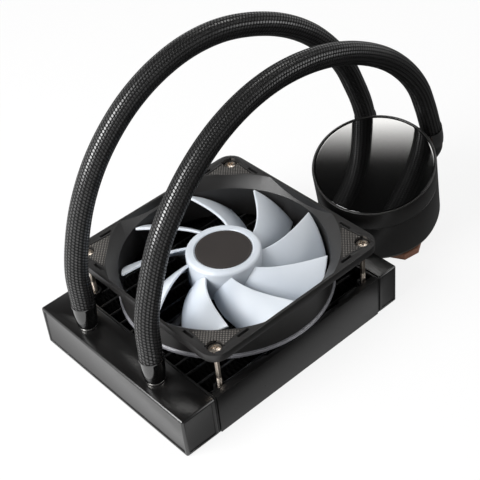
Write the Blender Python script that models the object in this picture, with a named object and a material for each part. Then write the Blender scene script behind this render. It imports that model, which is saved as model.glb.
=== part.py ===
"""All-in-one liquid cooler: radiator with one fan, two braided hoses and a round pump head.

Lengths are metres, +Z is up. The radiator lies flat, its hose tank towards -X. The pump head
stands behind its far end and leans back on the hoses, on the lower edge of its cold plate.
"""

import math

import bmesh
import bpy
from mathutils import Matrix, Vector

MM = 0.001
GAP = 0.3 * MM
RUNNING_CLEARANCE = 0.1 * MM
SMOOTH_ANGLE = math.radians(38)

# The fan's square size sets the radiator's width, the screws' places and the bore
FAN_SIZE = 120.0 * MM
FAN_HALF = FAN_SIZE / 2

# Radiator: its hose tank starts at x = 0, its front long side is y = 0
HOSE_TANK_LENGTH = 21.2 * MM
RETURN_TANK_LENGTH = 13.4 * MM
CORE_EXTRA_LENGTH = 0.4 * MM
RADIATOR_LENGTH = HOSE_TANK_LENGTH + FAN_SIZE + CORE_EXTRA_LENGTH + RETURN_TANK_LENGTH
RADIATOR_WIDTH = FAN_SIZE
RADIATOR_HEIGHT = 26.0 * MM
TANK_WALL = 1.8 * MM
TANK_EDGE = 0.8 * MM
PANEL_BORDER = 1.9 * MM
PANEL_DEPTH = 0.7 * MM
HEADER_SHEET = 1.2 * MM
HEADER_INSET = 0.4 * MM
DIVIDER_SHEET = 1.5 * MM
CORE_BOTTOM = 4.0 * MM
CORE_DEPTH = 16.0 * MM
TUBE_COUNT = 12
TUBE_THICKNESS = 1.8 * MM
TUBE_WALL = 0.4 * MM
TUBE_REACH = 1.5 * MM
FIN_FOLDS = 20
FIN_SHEET = 0.3 * MM
SIDE_SHEET = 1.2 * MM
FLANGE_WIDTH = 4.2 * MM
NOTCH_FLANGE_WIDTH = 2.7 * MM
NOTCH_START = 60.0 * MM
NOTCH_END = 112.0 * MM
NOTCH_SLOPE = 6.0 * MM
LUG_RADIUS = 3.5 * MM
LUG_SHEET = 2.0 * MM

# Fan: a 120 mm square frame, 25 mm high, on the radiator's flanges
FAN_HEIGHT = 25.0 * MM
FAN_SETBACK = 2.5 * MM
FAN_CENTRE = Vector((HOSE_TANK_LENGTH + FAN_SETBACK + FAN_HALF, FAN_HALF, RADIATOR_HEIGHT + GAP))
SCREW_INSET = 7.5 * MM
SCREW_PITCH = FAN_SIZE - 2 * SCREW_INSET
BARREL_WALL = 1.2 * MM
BARREL_DRAFT = 1.0 * MM
BORE_INSET = 2.5 * MM
BORE_RADIUS = FAN_HALF - BORE_INSET
BARREL_FOOT_RADIUS = BORE_RADIUS + BARREL_WALL
BARREL_TOP_RADIUS = BARREL_FOOT_RADIUS + BARREL_DRAFT
FOOT_RING_STEP = 0.7 * MM
FOOT_RING_RADIUS = BARREL_FOOT_RADIUS + FOOT_RING_STEP
FOOT_RING_HEIGHT = 2.2 * MM
MOUTH_DEPTH = 6.0 * MM
MOUTH_WALL = 1.5 * MM
MOUTH_RADIUS = BORE_RADIUS + MOUTH_DEPTH
MOUTH_SIDE = FAN_HALF - MOUTH_WALL
CONE_STEP = 1.0 * MM
CUT_REACH = 2.0 * MM
LOBE_THICKNESS = 4.5 * MM
LOBE_CORNER_RADIUS = 9.0 * MM
SCREW_HOLE_RADIUS = 2.2 * MM
COUNTERBORE_RADIUS = 4.25 * MM
COUNTERBORE_DEPTH = 3.2 * MM
PAD_LEG = 24.5 * MM
PAD_INSET = 6.3 * MM
PAD_TIP = 4.7 * MM
PAD_TIP_SLANT = 1.6
PAD_POCKET_DEPTH = 1.0 * MM
PAD_THICKNESS = 0.5 * MM
SLOT_START = 19.5 * MM
SLOT_LENGTH = 7.6 * MM
SLOT_WIDTH = 1.7 * MM
SLOT_INSET = 3.1 * MM
MOTOR_BASE_RADIUS = 22.0 * MM
MOTOR_BASE_HEIGHT = 2.2 * MM
BEARING_TUBE_RADIUS = 4.6 * MM
BEARING_TUBE_TOP = 17.0 * MM
BEARING_RADIUS = 3.2 * MM
STRUT_COUNT = 4
STRUT_WIDTH = 4.0 * MM
STRUT_HEIGHT = 3.2 * MM
STRUT_ANGLE = math.radians(10)

# Fan rotor, in the fan's own frame
HUB_RADIUS = 20.75 * MM
HUB_TOP = 23.1 * MM
HUB_FOOT = 4.2 * MM
HUB_WALL = 1.5 * MM
HUB_SHOULDER = 3.0 * MM
LABEL_RADIUS = 15.5 * MM
LABEL_THICKNESS = 0.3 * MM
LABEL_RECESS = 0.8 * MM
BLADE_COUNT = 9
BLADE_ROOT_RADIUS = 20.0 * MM
BLADE_TIP_GAP = 1.5 * MM
BLADE_TIP_RADIUS = BORE_RADIUS - BLADE_TIP_GAP
BLADE_LEAD_ANGLE = -1.0
BLADE_SWEEP = 45.8
BLADE_SWEEP_EASE = -14.6
BLADE_ROOT_CHORD_ANGLE = 32.0
BLADE_TIP_CHORD_ANGLE = 25.4
BLADE_LEAD_HEIGHT = 21.0 * MM
BLADE_ROOT_TRAIL_HEIGHT = 8.0 * MM
BLADE_TIP_TRAIL_HEIGHT = 5.0 * MM
BLADE_CAMBER = 1.4 * MM
BLADE_ROOT_THICKNESS = 1.8 * MM
BLADE_TIP_THICKNESS = 1.2 * MM
BLADE_SPAN_STEPS = 5
BLADE_CHORD_STEPS = 5
MAGNET_OUTER_RADIUS = HUB_RADIUS - HUB_WALL - GAP
MAGNET_INNER_RADIUS = 17.6 * MM
MAGNET_BOTTOM = 7.5 * MM
MAGNET_TOP = 20.0 * MM
STATOR_RADIUS = 17.0 * MM
STATOR_HUB_RADIUS = 7.9 * MM
STATOR_BOTTOM = 8.0 * MM
STATOR_TOP = 17.5 * MM
FAN_POLE_COUNT = 4
FAN_POLE_WIDTH = 8.0 * MM
BOARD_RADIUS = 18.0 * MM
BOARD_BOTTOM = MOTOR_BASE_HEIGHT + GAP
BOARD_THICKNESS = 1.0 * MM
SHAFT_RADIUS = 1.5 * MM
SHAFT_BOTTOM = 3.0 * MM

# Fan screws
SCREW_RADIUS = 1.75 * MM
SCREW_HEAD_RADIUS = 3.7 * MM
SCREW_HEAD_HEIGHT = 1.8 * MM
SCREW_HEAD_EDGE = 0.5 * MM
SCREW_CROWN = 0.3 * MM
SCREW_TIP_RADIUS = 1.2 * MM
SCREW_TIP_HEIGHT = 0.6 * MM
CROSS_LENGTH = 4.0 * MM
CROSS_WIDTH = 0.9 * MM
CROSS_DEPTH = 1.1 * MM

# Hoses and the tapered sleeves that clamp their ends
HOSE_RADIUS = 6.2 * MM
HOSE_POINT_SPACING = 1.6
HOSE_STRAIGHT = 2.5 * MM
SLEEVE_LENGTH = 15.1 * MM
SLEEVE_FOOT_RADIUS = 5.3 * MM
SLEEVE_WAIST_RADIUS = 6.2 * MM
SLEEVE_WAIST_DEPTH = 8.0 * MM
SLEEVE_LIP_RADIUS = 6.6 * MM
SLEEVE_LIP_HEIGHT = 0.4 * MM
STEM_RADIUS = 3.8 * MM
STEM_BORE_RADIUS = 2.8 * MM
NECK_X = 9.65 * MM
NECK_Y = {"left": 89.2 * MM, "right": 32.2 * MM}
NECK_COLLAR_RADIUS = 4.9 * MM
NECK_COLLAR_HEIGHT = 0.9 * MM
NECK_DEPTH = 4.0 * MM
HOSE_START_HEIGHT = RADIATOR_HEIGHT + GAP + NECK_COLLAR_HEIGHT + GAP + SLEEVE_LENGTH

# Pump head, in its own frame: the cold plate's contact face is z = 0, the hose ports face +X
PUMP_RADIUS = 35.25 * MM
PUMP_HEIGHT = 51.7 * MM
PUMP_LEAN = math.radians(16.38)
PUMP_TURN = math.radians(27.5)
PUMP_TOP_PLACE = Vector((184.42 * MM, 43.47 * MM, 0.0))
COLD_PLATE_SIZE = 56.0 * MM
COLD_PLATE_CHAMFER = 6.5 * MM
COLD_PLATE_THICKNESS = 5.5 * MM
COLD_PLATE_STEP_RADIUS = 22.0 * MM
COLD_PLATE_STEP_HEIGHT = 2.6 * MM
MICRO_FIN_COUNT = 9
MICRO_FIN_BLOCK = 22.0 * MM
MICRO_FIN_HEIGHT = 2.0 * MM
BASE_PLATE_RADIUS = 34.5 * MM
BASE_PLATE_BAND = 7.5 * MM
BASE_PLATE_OPENING = BASE_PLATE_RADIUS - BASE_PLATE_BAND
BASE_PLATE_BOTTOM = COLD_PLATE_THICKNESS + GAP
BASE_PLATE_THICKNESS = 1.3 * MM
GASKET_RADIUS = 26.6 * MM
GASKET_OPENING = 23.5 * MM
BODY_NECK_RADIUS = 33.5 * MM
BODY_BOTTOM = BASE_PLATE_BOTTOM + BASE_PLATE_THICKNESS + GAP
BODY_WALL_BOTTOM = 8.2 * MM
CAP_HEIGHT = 14.0 * MM
CAP_BOTTOM = PUMP_HEIGHT - CAP_HEIGHT
BODY_TOP = CAP_BOTTOM - GAP
BODY_EDGE = 0.6 * MM
WATER_CHAMBER_RADIUS = 22.5 * MM
WATER_CHAMBER_TOP = 21.4 * MM
MOTOR_ROOM_RADIUS = 31.0 * MM
MOTOR_ROOM_FLOOR = 23.0 * MM
CAN_BORE_RADIUS = 9.3 * MM
CAN_RADIUS = 10.7 * MM
CAN_TOP = 32.4 * MM
CAN_ROOF = 1.4 * MM
CAP_OPENING = 31.5 * MM
LENS_RADIUS = 33.85 * MM
LENS_THICKNESS = 2.2 * MM
LENS_EDGE = 0.4 * MM
LENS_SINK = 0.25 * MM
LIGHT_BOARD_BOTTOM = 44.0 * MM
LIGHT_BOARD_THICKNESS = 1.6 * MM
YOKE_INNER_RADIUS = 25.5 * MM
POLE_COUNT = 6
POLE_WIDTH = 6.0 * MM
PUMP_STATOR_HEIGHT = 8.5 * MM
IMPELLER_RADIUS = 16.0 * MM
IMPELLER_BOTTOM = 12.0 * MM
IMPELLER_DISC = 1.6 * MM
IMPELLER_VANES = 6
IMPELLER_VANE_START = 6.6 * MM
IMPELLER_VANE_HEIGHT = 3.6 * MM
IMPELLER_VANE_WIDTH = 1.4 * MM
IMPELLER_MAGNET_RADIUS = 8.6 * MM
IMPELLER_MAGNET_TOP = 30.0 * MM
PORT_HEIGHT = 13.4 * MM
PORT_ANGLES = {"left": math.radians(22), "right": math.radians(-28)}
PORT_RADIUS = 4.2 * MM
PORT_BORE_RADIUS = 3.0 * MM
SPIGOT_START = 29.0 * MM
ELBOW_COLLAR_RADIUS = 5.1 * MM
ELBOW_COLLAR_LENGTH = 1.7 * MM
ELBOW_RADIUS = 4.4 * MM
ELBOW_STRAIGHT = 1.2 * MM
ELBOW_STEPS = 8
ELBOW_PULL = 6.5 * MM

# Routes of the hoses' centre lines in millimetres, from the tank's sleeve to the pump's sleeve
HOSE_ROUTES_MM = {
    "left": [
        (9.65, 89.2, 42.6), (11.0, 91.0, 62.0), (15.9, 91.7, 81.0), (23.2, 92.0, 99.2),
        (33.2, 91.9, 116.1), (45.7, 91.1, 131.2), (60.5, 89.8, 144.0), (77.3, 87.9, 153.6),
        (95.8, 85.4, 159.5), (115.0, 82.3, 160.8), (133.8, 78.6, 157.3), (151.6, 75.2, 149.8),
        (167.2, 72.4, 138.6), (180.3, 70.7, 124.1), (191.2, 70.8, 107.7), (200.3, 72.8, 90.4),
        (209.2, 76.2, 73.3), (217.2, 80.6, 56.5),
    ],
    "right": [
        (9.65, 32.2, 42.6), (12.5, 34.9, 62.6), (19.7, 36.7, 81.8), (29.5, 38.6, 99.8),
        (42.6, 39.9, 115.7), (58.1, 41.2, 129.0), (75.7, 42.2, 139.5), (95.0, 42.7, 146.5),
        (115.2, 42.6, 149.7), (135.7, 41.9, 148.9), (155.6, 41.1, 144.2), (174.3, 40.3, 135.9),
        (191.3, 39.8, 124.5), (205.9, 39.9, 110.1), (217.7, 40.7, 93.4), (226.5, 42.4, 74.9),
        (233.9, 44.1, 55.9),
    ],
}

# Material slots: colour, metallic, roughness
SLOTS = {
    "radiator_paint": ((0.020, 0.020, 0.021), 0.3, 0.45),
    "core_paint": ((0.030, 0.030, 0.032), 0.5, 0.5),
    "fan_plastic": ((0.035, 0.036, 0.038), 0.0, 0.55),
    "rotor_plastic": ((0.72, 0.76, 0.80), 0.0, 0.3),
    "label_film": ((0.045, 0.042, 0.040), 0.0, 0.6),
    "pad_rubber": ((0.060, 0.060, 0.055), 0.0, 0.8),
    "screw_nickel": ((0.62, 0.56, 0.48), 1.0, 0.25),
    "steel": ((0.55, 0.55, 0.55), 1.0, 0.35),
    "bearing_bronze": ((0.55, 0.40, 0.20), 1.0, 0.4),
    "motor_core": ((0.40, 0.25, 0.15), 0.8, 0.45),
    "magnet_iron": ((0.10, 0.10, 0.10), 0.6, 0.6),
    "circuit_board": ((0.02, 0.12, 0.05), 0.0, 0.5),
    "hose_braid": ((0.012, 0.012, 0.013), 0.0, 0.5),
    "sleeve_gloss": ((0.015, 0.015, 0.016), 0.0, 0.2),
    "pump_satin": ((0.025, 0.025, 0.026), 0.0, 0.45),
    "lens_gloss": ((0.004, 0.004, 0.005), 0.0, 0.05),
    "impeller_plastic": ((0.45, 0.45, 0.44), 0.0, 0.5),
    "gasket_rubber": ((0.015, 0.015, 0.015), 0.0, 0.7),
    "plate_steel": ((0.45, 0.44, 0.42), 1.0, 0.35),
    "plate_copper": ((0.72, 0.38, 0.25), 1.0, 0.25),
}

ROUND_STEPS = 28
SMALL_STEPS = 14
PUMP_STEPS = 48
FAN_STEPS = 64
UP = Vector((0, 0, 1))


def clear_scene():
    """Remove every object that the file holds."""
    for item in list(bpy.data.objects):
        bpy.data.objects.remove(item, do_unlink=True)


def slot_material(slot):
    """Return the slot's Principled material, made on first use."""
    if slot in bpy.data.materials:
        return bpy.data.materials[slot]
    colour, metallic, roughness = SLOTS[slot]
    material = bpy.data.materials.new(slot)
    material.use_nodes = True
    shader = material.node_tree.nodes["Principled BSDF"]
    shader.inputs["Base Color"].default_value = (*colour, 1.0)
    shader.inputs["Metallic"].default_value = metallic
    shader.inputs["Roughness"].default_value = roughness
    return material


def from_bmesh(bm):
    """Turn a bmesh into a linked scratch object with its faces outward."""
    bmesh.ops.recalc_face_normals(bm, faces=bm.faces)
    mesh = bpy.data.meshes.new("scratch")
    bm.to_mesh(mesh)
    bm.free()
    item = bpy.data.objects.new("scratch", mesh)
    bpy.context.collection.objects.link(item)
    return item


def prism(outline, bottom, top):
    """Extrude a closed outline of (x, y) points from bottom to top."""
    bm = bmesh.new()
    face = bm.faces.new([bm.verts.new((x, y, bottom)) for x, y in outline])
    extruded = bmesh.ops.extrude_face_region(bm, geom=[face])["geom"]
    raised = [part for part in extruded if isinstance(part, bmesh.types.BMVert)]
    bmesh.ops.translate(bm, verts=raised, vec=(0, 0, top - bottom))
    return from_bmesh(bm)


def box(low, high):
    """Make a box between two corners."""
    outline = [(low[0], low[1]), (high[0], low[1]), (high[0], high[1]), (low[0], high[1])]
    return prism(outline, low[2], high[2])


def disc_outline(radius, steps, centre=(0.0, 0.0), start=0.0, sweep=math.tau):
    """Points of a circle, or of an arc that includes both its ends."""
    whole = abs(sweep - math.tau) < 1e-9
    count = steps if whole else steps + 1
    angles = [start + sweep * index / steps for index in range(count)]
    return [(centre[0] + radius * math.cos(a), centre[1] + radius * math.sin(a)) for a in angles]


def toothed_outline(count, radius, tooth_radius, half_width):
    """Outline of a circle with square teeth out, or in, to another radius."""
    outline = []
    spread = math.asin(half_width / radius)
    root = math.sqrt(radius**2 - half_width**2)
    inward = tooth_radius < radius
    tip = tooth_radius if inward else math.sqrt(tooth_radius**2 - half_width**2)
    for index in range(count):
        middle = index * math.tau / count
        turn = Matrix.Rotation(middle, 2)
        tooth = [(root, -half_width), (tip, -half_width), (tip, half_width), (root, half_width)]
        outline += [tuple(turn @ Vector(point)) for point in tooth]
        free = math.tau / count - 2 * spread
        outline += disc_outline(radius, 4, (0, 0), middle + spread, free)[1:-1]
    return outline


def cylinder(radius, bottom, top, steps=ROUND_STEPS, centre=(0.0, 0.0)):
    """Make an upright cylinder."""
    return prism(disc_outline(radius, steps, centre), bottom, top)


def turned(profile, steps, closed=True):
    """Turn a profile of (radius, height) points about Z; an open one ends on the axis."""
    bm = bmesh.new()
    rings = []
    for radius, height in profile:
        if radius == 0:
            rings.append([bm.verts.new((0, 0, height))] * steps)
            continue
        ring = [bm.verts.new((x, y, height)) for x, y in disc_outline(radius, steps)]
        rings.append(ring)
    pairs = list(zip(rings, rings[1:]))
    if closed:
        pairs.append((rings[-1], rings[0]))
    for low, high in pairs:
        for index in range(steps):
            following = (index + 1) % steps
            corners = [low[index], low[following], high[following], high[index]]
            bm.faces.new(list(dict.fromkeys(corners)))
    return from_bmesh(bm)


def moved(item, matrix):
    """Move a scratch object's mesh by a matrix and return the object."""
    item.data.transform(matrix)
    return item


def combine(target, tool, operation):
    """Join a scratch tool to the target, or cut or keep what they share."""
    modifier = target.modifiers.new("combine", "BOOLEAN")
    modifier.object = tool
    modifier.operation = operation
    modifier.solver = "EXACT"
    bpy.context.view_layer.update()
    graph = bpy.context.evaluated_depsgraph_get()
    result = bpy.data.meshes.new_from_object(target.evaluated_get(graph))
    target.modifiers.clear()
    target.data = result
    bpy.data.objects.remove(tool, do_unlink=True)
    return target


def joined(target, tool):
    """Join a tool to the target."""
    return combine(target, tool, "UNION")


def cut(target, tool):
    """Cut a tool out of the target."""
    return combine(target, tool, "DIFFERENCE")


def finished(item, name, slot, parent, matrix=None):
    """Name a scratch object, weld and shade it, and hang it on its parent."""
    bm = bmesh.new()
    bm.from_mesh(item.data)
    bmesh.ops.remove_doubles(bm, verts=bm.verts, dist=0.002 * MM)
    bmesh.ops.dissolve_limit(
        bm, angle_limit=math.radians(0.2), verts=bm.verts, edges=bm.edges
    )
    bmesh.ops.recalc_face_normals(bm, faces=bm.faces)
    bm.to_mesh(item.data)
    bm.free()
    item.name = name
    item.data.name = name
    item.data.materials.clear()
    item.data.materials.append(slot_material(slot))
    item.data.shade_smooth()
    item.data.set_sharp_from_angle(angle=SMOOTH_ANGLE)
    item.parent = parent
    if matrix is not None:
        item.matrix_local = matrix
    return item


def copied(item, name, matrix):
    """Place a further copy of a finished piece, sharing its mesh."""
    copy = bpy.data.objects.new(name, item.data)
    bpy.context.collection.objects.link(copy)
    copy.parent = item.parent
    copy.matrix_local = matrix
    return copy


def empty(name, parent=None, matrix=None):
    """Add an empty that carries a group of pieces."""
    item = bpy.data.objects.new(name, None)
    bpy.context.collection.objects.link(item)
    item.parent = parent
    if matrix is not None:
        item.matrix_local = matrix
    return item


def hose_points(side):
    """Return the route of one hose as vectors in metres."""
    return [Vector(point) * MM for point in HOSE_ROUTES_MM[side]]


def hose_end_direction(side):
    """Return the unit direction in which the pump's sleeve opens, up along the hose."""
    route = hose_points(side)
    return (route[-2] - route[-1]).normalized()


def pump_matrix():
    """Place the pump head: its top's middle is set, its cold plate's low edge is on z = 0."""
    turn = Matrix.Rotation(PUMP_TURN, 4, "Z") @ Matrix.Rotation(-PUMP_LEAN, 4, "Y")
    rise = COLD_PLATE_SIZE / 2 * math.sin(PUMP_LEAN)
    foot = PUMP_TOP_PLACE - PUMP_HEIGHT * (turn @ UP)
    return Matrix.Translation((foot.x, foot.y, rise)) @ turn


def tank(name, start, length, opens, necks, parent):
    """Make a tank shell: bevelled outside, sunk panels, open towards the core."""
    width, height = RADIATOR_WIDTH, RADIATOR_HEIGHT
    shell = box((start, 0, 0), (start + length, width, height))
    core_face = start + length if opens > 0 else start
    bm = bmesh.new()
    bm.from_mesh(shell.data)
    edges = [
        edge for edge in bm.edges
        if not all(abs(vert.co.x - core_face) < GAP for vert in edge.verts)
    ]
    bmesh.ops.bevel(bm, geom=edges, offset=TANK_EDGE, segments=1, affect="EDGES")
    bm.to_mesh(shell.data)
    bm.free()
    outer_face = start if opens > 0 else start + length
    hollow_end = core_face + opens * TANK_WALL
    hollow_start = outer_face + opens * (TANK_WALL + PANEL_DEPTH)
    low_x, high_x = sorted((hollow_start, hollow_end))
    wall = TANK_WALL + PANEL_DEPTH
    cut(shell, box((low_x, wall, TANK_WALL), (high_x, width - wall, height - TANK_WALL)))
    sunk = sorted((outer_face - opens * TANK_WALL, outer_face + opens * PANEL_DEPTH))
    border = PANEL_BORDER
    cut(shell, box((sunk[0], border, border), (sunk[1], width - border, height - border)))
    for face, inward in ((0.0, 1), (width, -1)):
        low_y, high_y = sorted((face - inward * TANK_WALL, face + inward * PANEL_DEPTH))
        pocket = ((start + border, low_y, border), (start + length - border, high_y, height - border))
        cut(shell, box(*pocket))
    for y in necks:
        hole = cylinder(STEM_RADIUS + GAP, height - 2 * wall, height + wall, SMALL_STEPS, (NECK_X, y))
        cut(shell, hole)
    return finished(shell, name, "radiator_paint", parent)


def core_limits():
    """Return where the two header sheets' faces meet the fins, along X."""
    near = HOSE_TANK_LENGTH + GAP + HEADER_SHEET
    far = RADIATOR_LENGTH - RETURN_TANK_LENGTH - GAP - HEADER_SHEET
    return near, far


def tube_spacing():
    """Return the fin space between two tubes, and the pitch of the tubes."""
    free = RADIATOR_WIDTH - 2 * SIDE_SHEET - TUBE_COUNT * TUBE_THICKNESS
    space = free / (TUBE_COUNT + 1)
    return space, space + TUBE_THICKNESS


def header_sheets(parent):
    """Make the two header sheets, each with a slot for the end of every tube."""
    near, far = core_limits()
    space, pitch = tube_spacing()
    low = (HEADER_INSET, HEADER_INSET)
    high = (RADIATOR_WIDTH - HEADER_INSET, RADIATOR_HEIGHT - HEADER_INSET)
    for side, start in (("hose", near - HEADER_SHEET), ("return", far)):
        end = start + HEADER_SHEET
        sheet = box((start, *low), (end, *high))
        for index in range(TUBE_COUNT):
            y = SIDE_SHEET + space + index * pitch
            slot_low = (start - CUT_REACH, y - GAP, CORE_BOTTOM - GAP)
            slot_high = (end + CUT_REACH, y + TUBE_THICKNESS + GAP, CORE_BOTTOM + CORE_DEPTH + GAP)
            cut(sheet, box(slot_low, slot_high))
        finished(sheet, f"header_sheet_{side}", "core_paint", parent)


def folded_strip(height, middle):
    """Fold one fin strip of that height, between the header sheets, about y = middle."""
    near, far = core_limits()
    start, end = near + GAP, far - GAP
    step = (end - start) / FIN_FOLDS
    half_sheet = 0.5 * FIN_SHEET / math.cos(math.atan2(height, step))
    swing = height / 2 - half_sheet
    line = [(start + step * index, middle + swing * (-1) ** index)
            for index in range(FIN_FOLDS + 1)]
    outline = [(x, y - half_sheet) for x, y in line]
    outline += [(x, y + half_sheet) for x, y in reversed(line)]
    return prism(outline, CORE_BOTTOM, CORE_BOTTOM + CORE_DEPTH)


def core_rows(parent):
    """Make each flat tube with the fin strip that is brazed to it, and the last strip alone."""
    near, far = core_limits()
    space, pitch = tube_spacing()
    start = near - HEADER_SHEET - TUBE_REACH
    end = far + HEADER_SHEET + TUBE_REACH
    top = CORE_BOTTOM + CORE_DEPTH
    tube_y = space / 2
    row = folded_strip(space, GAP)
    joined(row, box((start, tube_y, CORE_BOTTOM), (end, tube_y + TUBE_THICKNESS, top)))
    inner_low = (start - CUT_REACH, tube_y + TUBE_WALL, CORE_BOTTOM + TUBE_WALL)
    inner_high = (end + CUT_REACH, tube_y + TUBE_THICKNESS - TUBE_WALL, top - TUBE_WALL)
    cut(row, box(inner_low, inner_high))
    first = SIDE_SHEET + space / 2
    row = finished(row, "core_row_01", "core_paint", parent, Matrix.Translation((0, first, 0)))
    for index in range(1, TUBE_COUNT):
        place = Matrix.Translation((0, first + index * pitch, 0))
        copied(row, f"core_row_{index + 1:02d}", place)
    place = Matrix.Translation((0, first + TUBE_COUNT * pitch, 0))
    finished(folded_strip(space - 2 * GAP, 0.0), "fin_strip_last", "core_paint", parent, place)


def screw_places():
    """Return the four screws' (x, y) in the fan's own frame, with their corner's signs."""
    half = SCREW_PITCH / 2
    return [(sx * half, sy * half, sx, sy) for sy in (-1, 1) for sx in (-1, 1)]


def side_plate(parent):
    """Make one side channel with flanges, a shallow notch and two screw lugs, and its mirror."""
    near, far = core_limits()
    start, end = near + GAP, far - GAP
    height = RADIATOR_HEIGHT
    plate = box((start, 0, 0), (end, FLANGE_WIDTH, height))
    hollow = box((start - SIDE_SHEET, SIDE_SHEET, SIDE_SHEET), (end + SIDE_SHEET, FLANGE_WIDTH * 2,
                                                              height - SIDE_SHEET))
    cut(plate, hollow)
    outer = 2 * FLANGE_WIDTH
    notch = [
        (NOTCH_START, NOTCH_FLANGE_WIDTH), (NOTCH_END, NOTCH_FLANGE_WIDTH),
        (NOTCH_END + NOTCH_SLOPE, outer), (NOTCH_START - NOTCH_SLOPE, outer),
    ]
    cut(plate, prism(notch, -SIDE_SHEET, height + SIDE_SHEET))
    lug_bottom = CORE_BOTTOM + CORE_DEPTH + GAP
    screw_y = (RADIATOR_WIDTH - SCREW_PITCH) / 2
    for side in (-1, 1):
        x = FAN_CENTRE.x + side * SCREW_PITCH / 2
        outline = disc_outline(LUG_RADIUS, 8, (x, screw_y), 0, math.pi)
        outline += [(x - LUG_RADIUS, SIDE_SHEET / 2), (x + LUG_RADIUS, SIDE_SHEET / 2)]
        joined(plate, prism(outline, lug_bottom, lug_bottom + LUG_SHEET))
        reach = 2 * LUG_SHEET
        hole = (SCREW_RADIUS + GAP, lug_bottom - reach, lug_bottom + reach, SMALL_STEPS, (x, screw_y))
        cut(plate, cylinder(*hole))
    finished(plate, "side_plate_front", "radiator_paint", parent)
    back = from_mirrored(plate, RADIATOR_WIDTH)
    finished(back, "side_plate_back", "radiator_paint", parent)


def from_mirrored(item, width):
    """Copy a piece's mesh mirrored in y, across the middle of a width."""
    bm = bmesh.new()
    bm.from_mesh(item.data)
    bmesh.ops.scale(bm, verts=bm.verts, vec=(1, -1, 1))
    bmesh.ops.translate(bm, verts=bm.verts, vec=(0, width, 0))
    return from_bmesh(bm)


def radiator(parent):
    """Make the radiator's tanks, divider, core, fins, side plates and hose necks."""
    tank("hose_tank", 0.0, HOSE_TANK_LENGTH, 1, NECK_Y.values(), parent)
    far_start = RADIATOR_LENGTH - RETURN_TANK_LENGTH
    tank("return_tank", far_start, RETURN_TANK_LENGTH, -1, (), parent)
    wall = TANK_WALL + GAP
    middle = RADIATOR_WIDTH / 2
    divider = box(
        (wall + PANEL_DEPTH, middle - DIVIDER_SHEET / 2, wall),
        (HOSE_TANK_LENGTH, middle + DIVIDER_SHEET / 2, RADIATOR_HEIGHT - wall),
    )
    finished(divider, "tank_divider", "radiator_paint", parent)
    header_sheets(parent)
    core_rows(parent)
    side_plate(parent)
    for side, y in NECK_Y.items():
        place = Matrix.Translation((NECK_X, y, 0))
        finished(neck(), f"hose_neck_{side}", "steel", parent, place)


def neck():
    """Make a hose neck: a stem through the tank's top, with a collar that rests on it."""
    seat = RADIATOR_HEIGHT + GAP
    foot = RADIATOR_HEIGHT - NECK_DEPTH
    top = HOSE_START_HEIGHT - GAP
    profile = [
        (STEM_BORE_RADIUS, foot), (STEM_RADIUS, foot), (STEM_RADIUS, seat),
        (NECK_COLLAR_RADIUS, seat), (NECK_COLLAR_RADIUS, seat + NECK_COLLAR_HEIGHT),
        (STEM_RADIUS, seat + NECK_COLLAR_HEIGHT), (STEM_RADIUS, top), (STEM_BORE_RADIUS, top),
    ]
    return turned(profile, SMALL_STEPS)


def lobe_outline():
    """Outline of the fan's square top plate with rounded corners."""
    reach = FAN_SIZE / 2 - LOBE_CORNER_RADIUS
    outline = []
    for quarter, (sx, sy) in enumerate(((1, 1), (-1, 1), (-1, -1), (1, -1))):
        centre = (sx * reach, sy * reach)
        outline += disc_outline(LOBE_CORNER_RADIUS, 6, centre, quarter * math.pi / 2, math.pi / 2)
    return outline


def corner_outline(points, sx, sy):
    """Mirror points given as distances in from a frame corner's two sides to that corner."""
    half = FAN_SIZE / 2
    outline = [(sx * (half - u), sy * (half - v)) for u, v in points]
    return outline if sx * sy > 0 else outline[::-1]


def pad_points(margin):
    """Outline of a corner pad, as distances in from the corner's sides, grown by a margin."""
    low = PAD_INSET - margin
    tip = PAD_TIP - margin
    side = tip * PAD_TIP_SLANT
    return [(PAD_LEG + margin, low), (low, PAD_LEG + margin), (tip, side), (side, tip)]


def slot_points(turned_over):
    """Outline of the slot beside a pad, along one side of the corner or along the other."""
    points = [
        (SLOT_START, SLOT_INSET), (SLOT_START + SLOT_LENGTH, SLOT_INSET),
        (SLOT_START + SLOT_LENGTH, SLOT_INSET + SLOT_WIDTH), (SLOT_START, SLOT_INSET + SLOT_WIDTH),
    ]
    return [(v, u) for u, v in points] if turned_over else points


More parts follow.
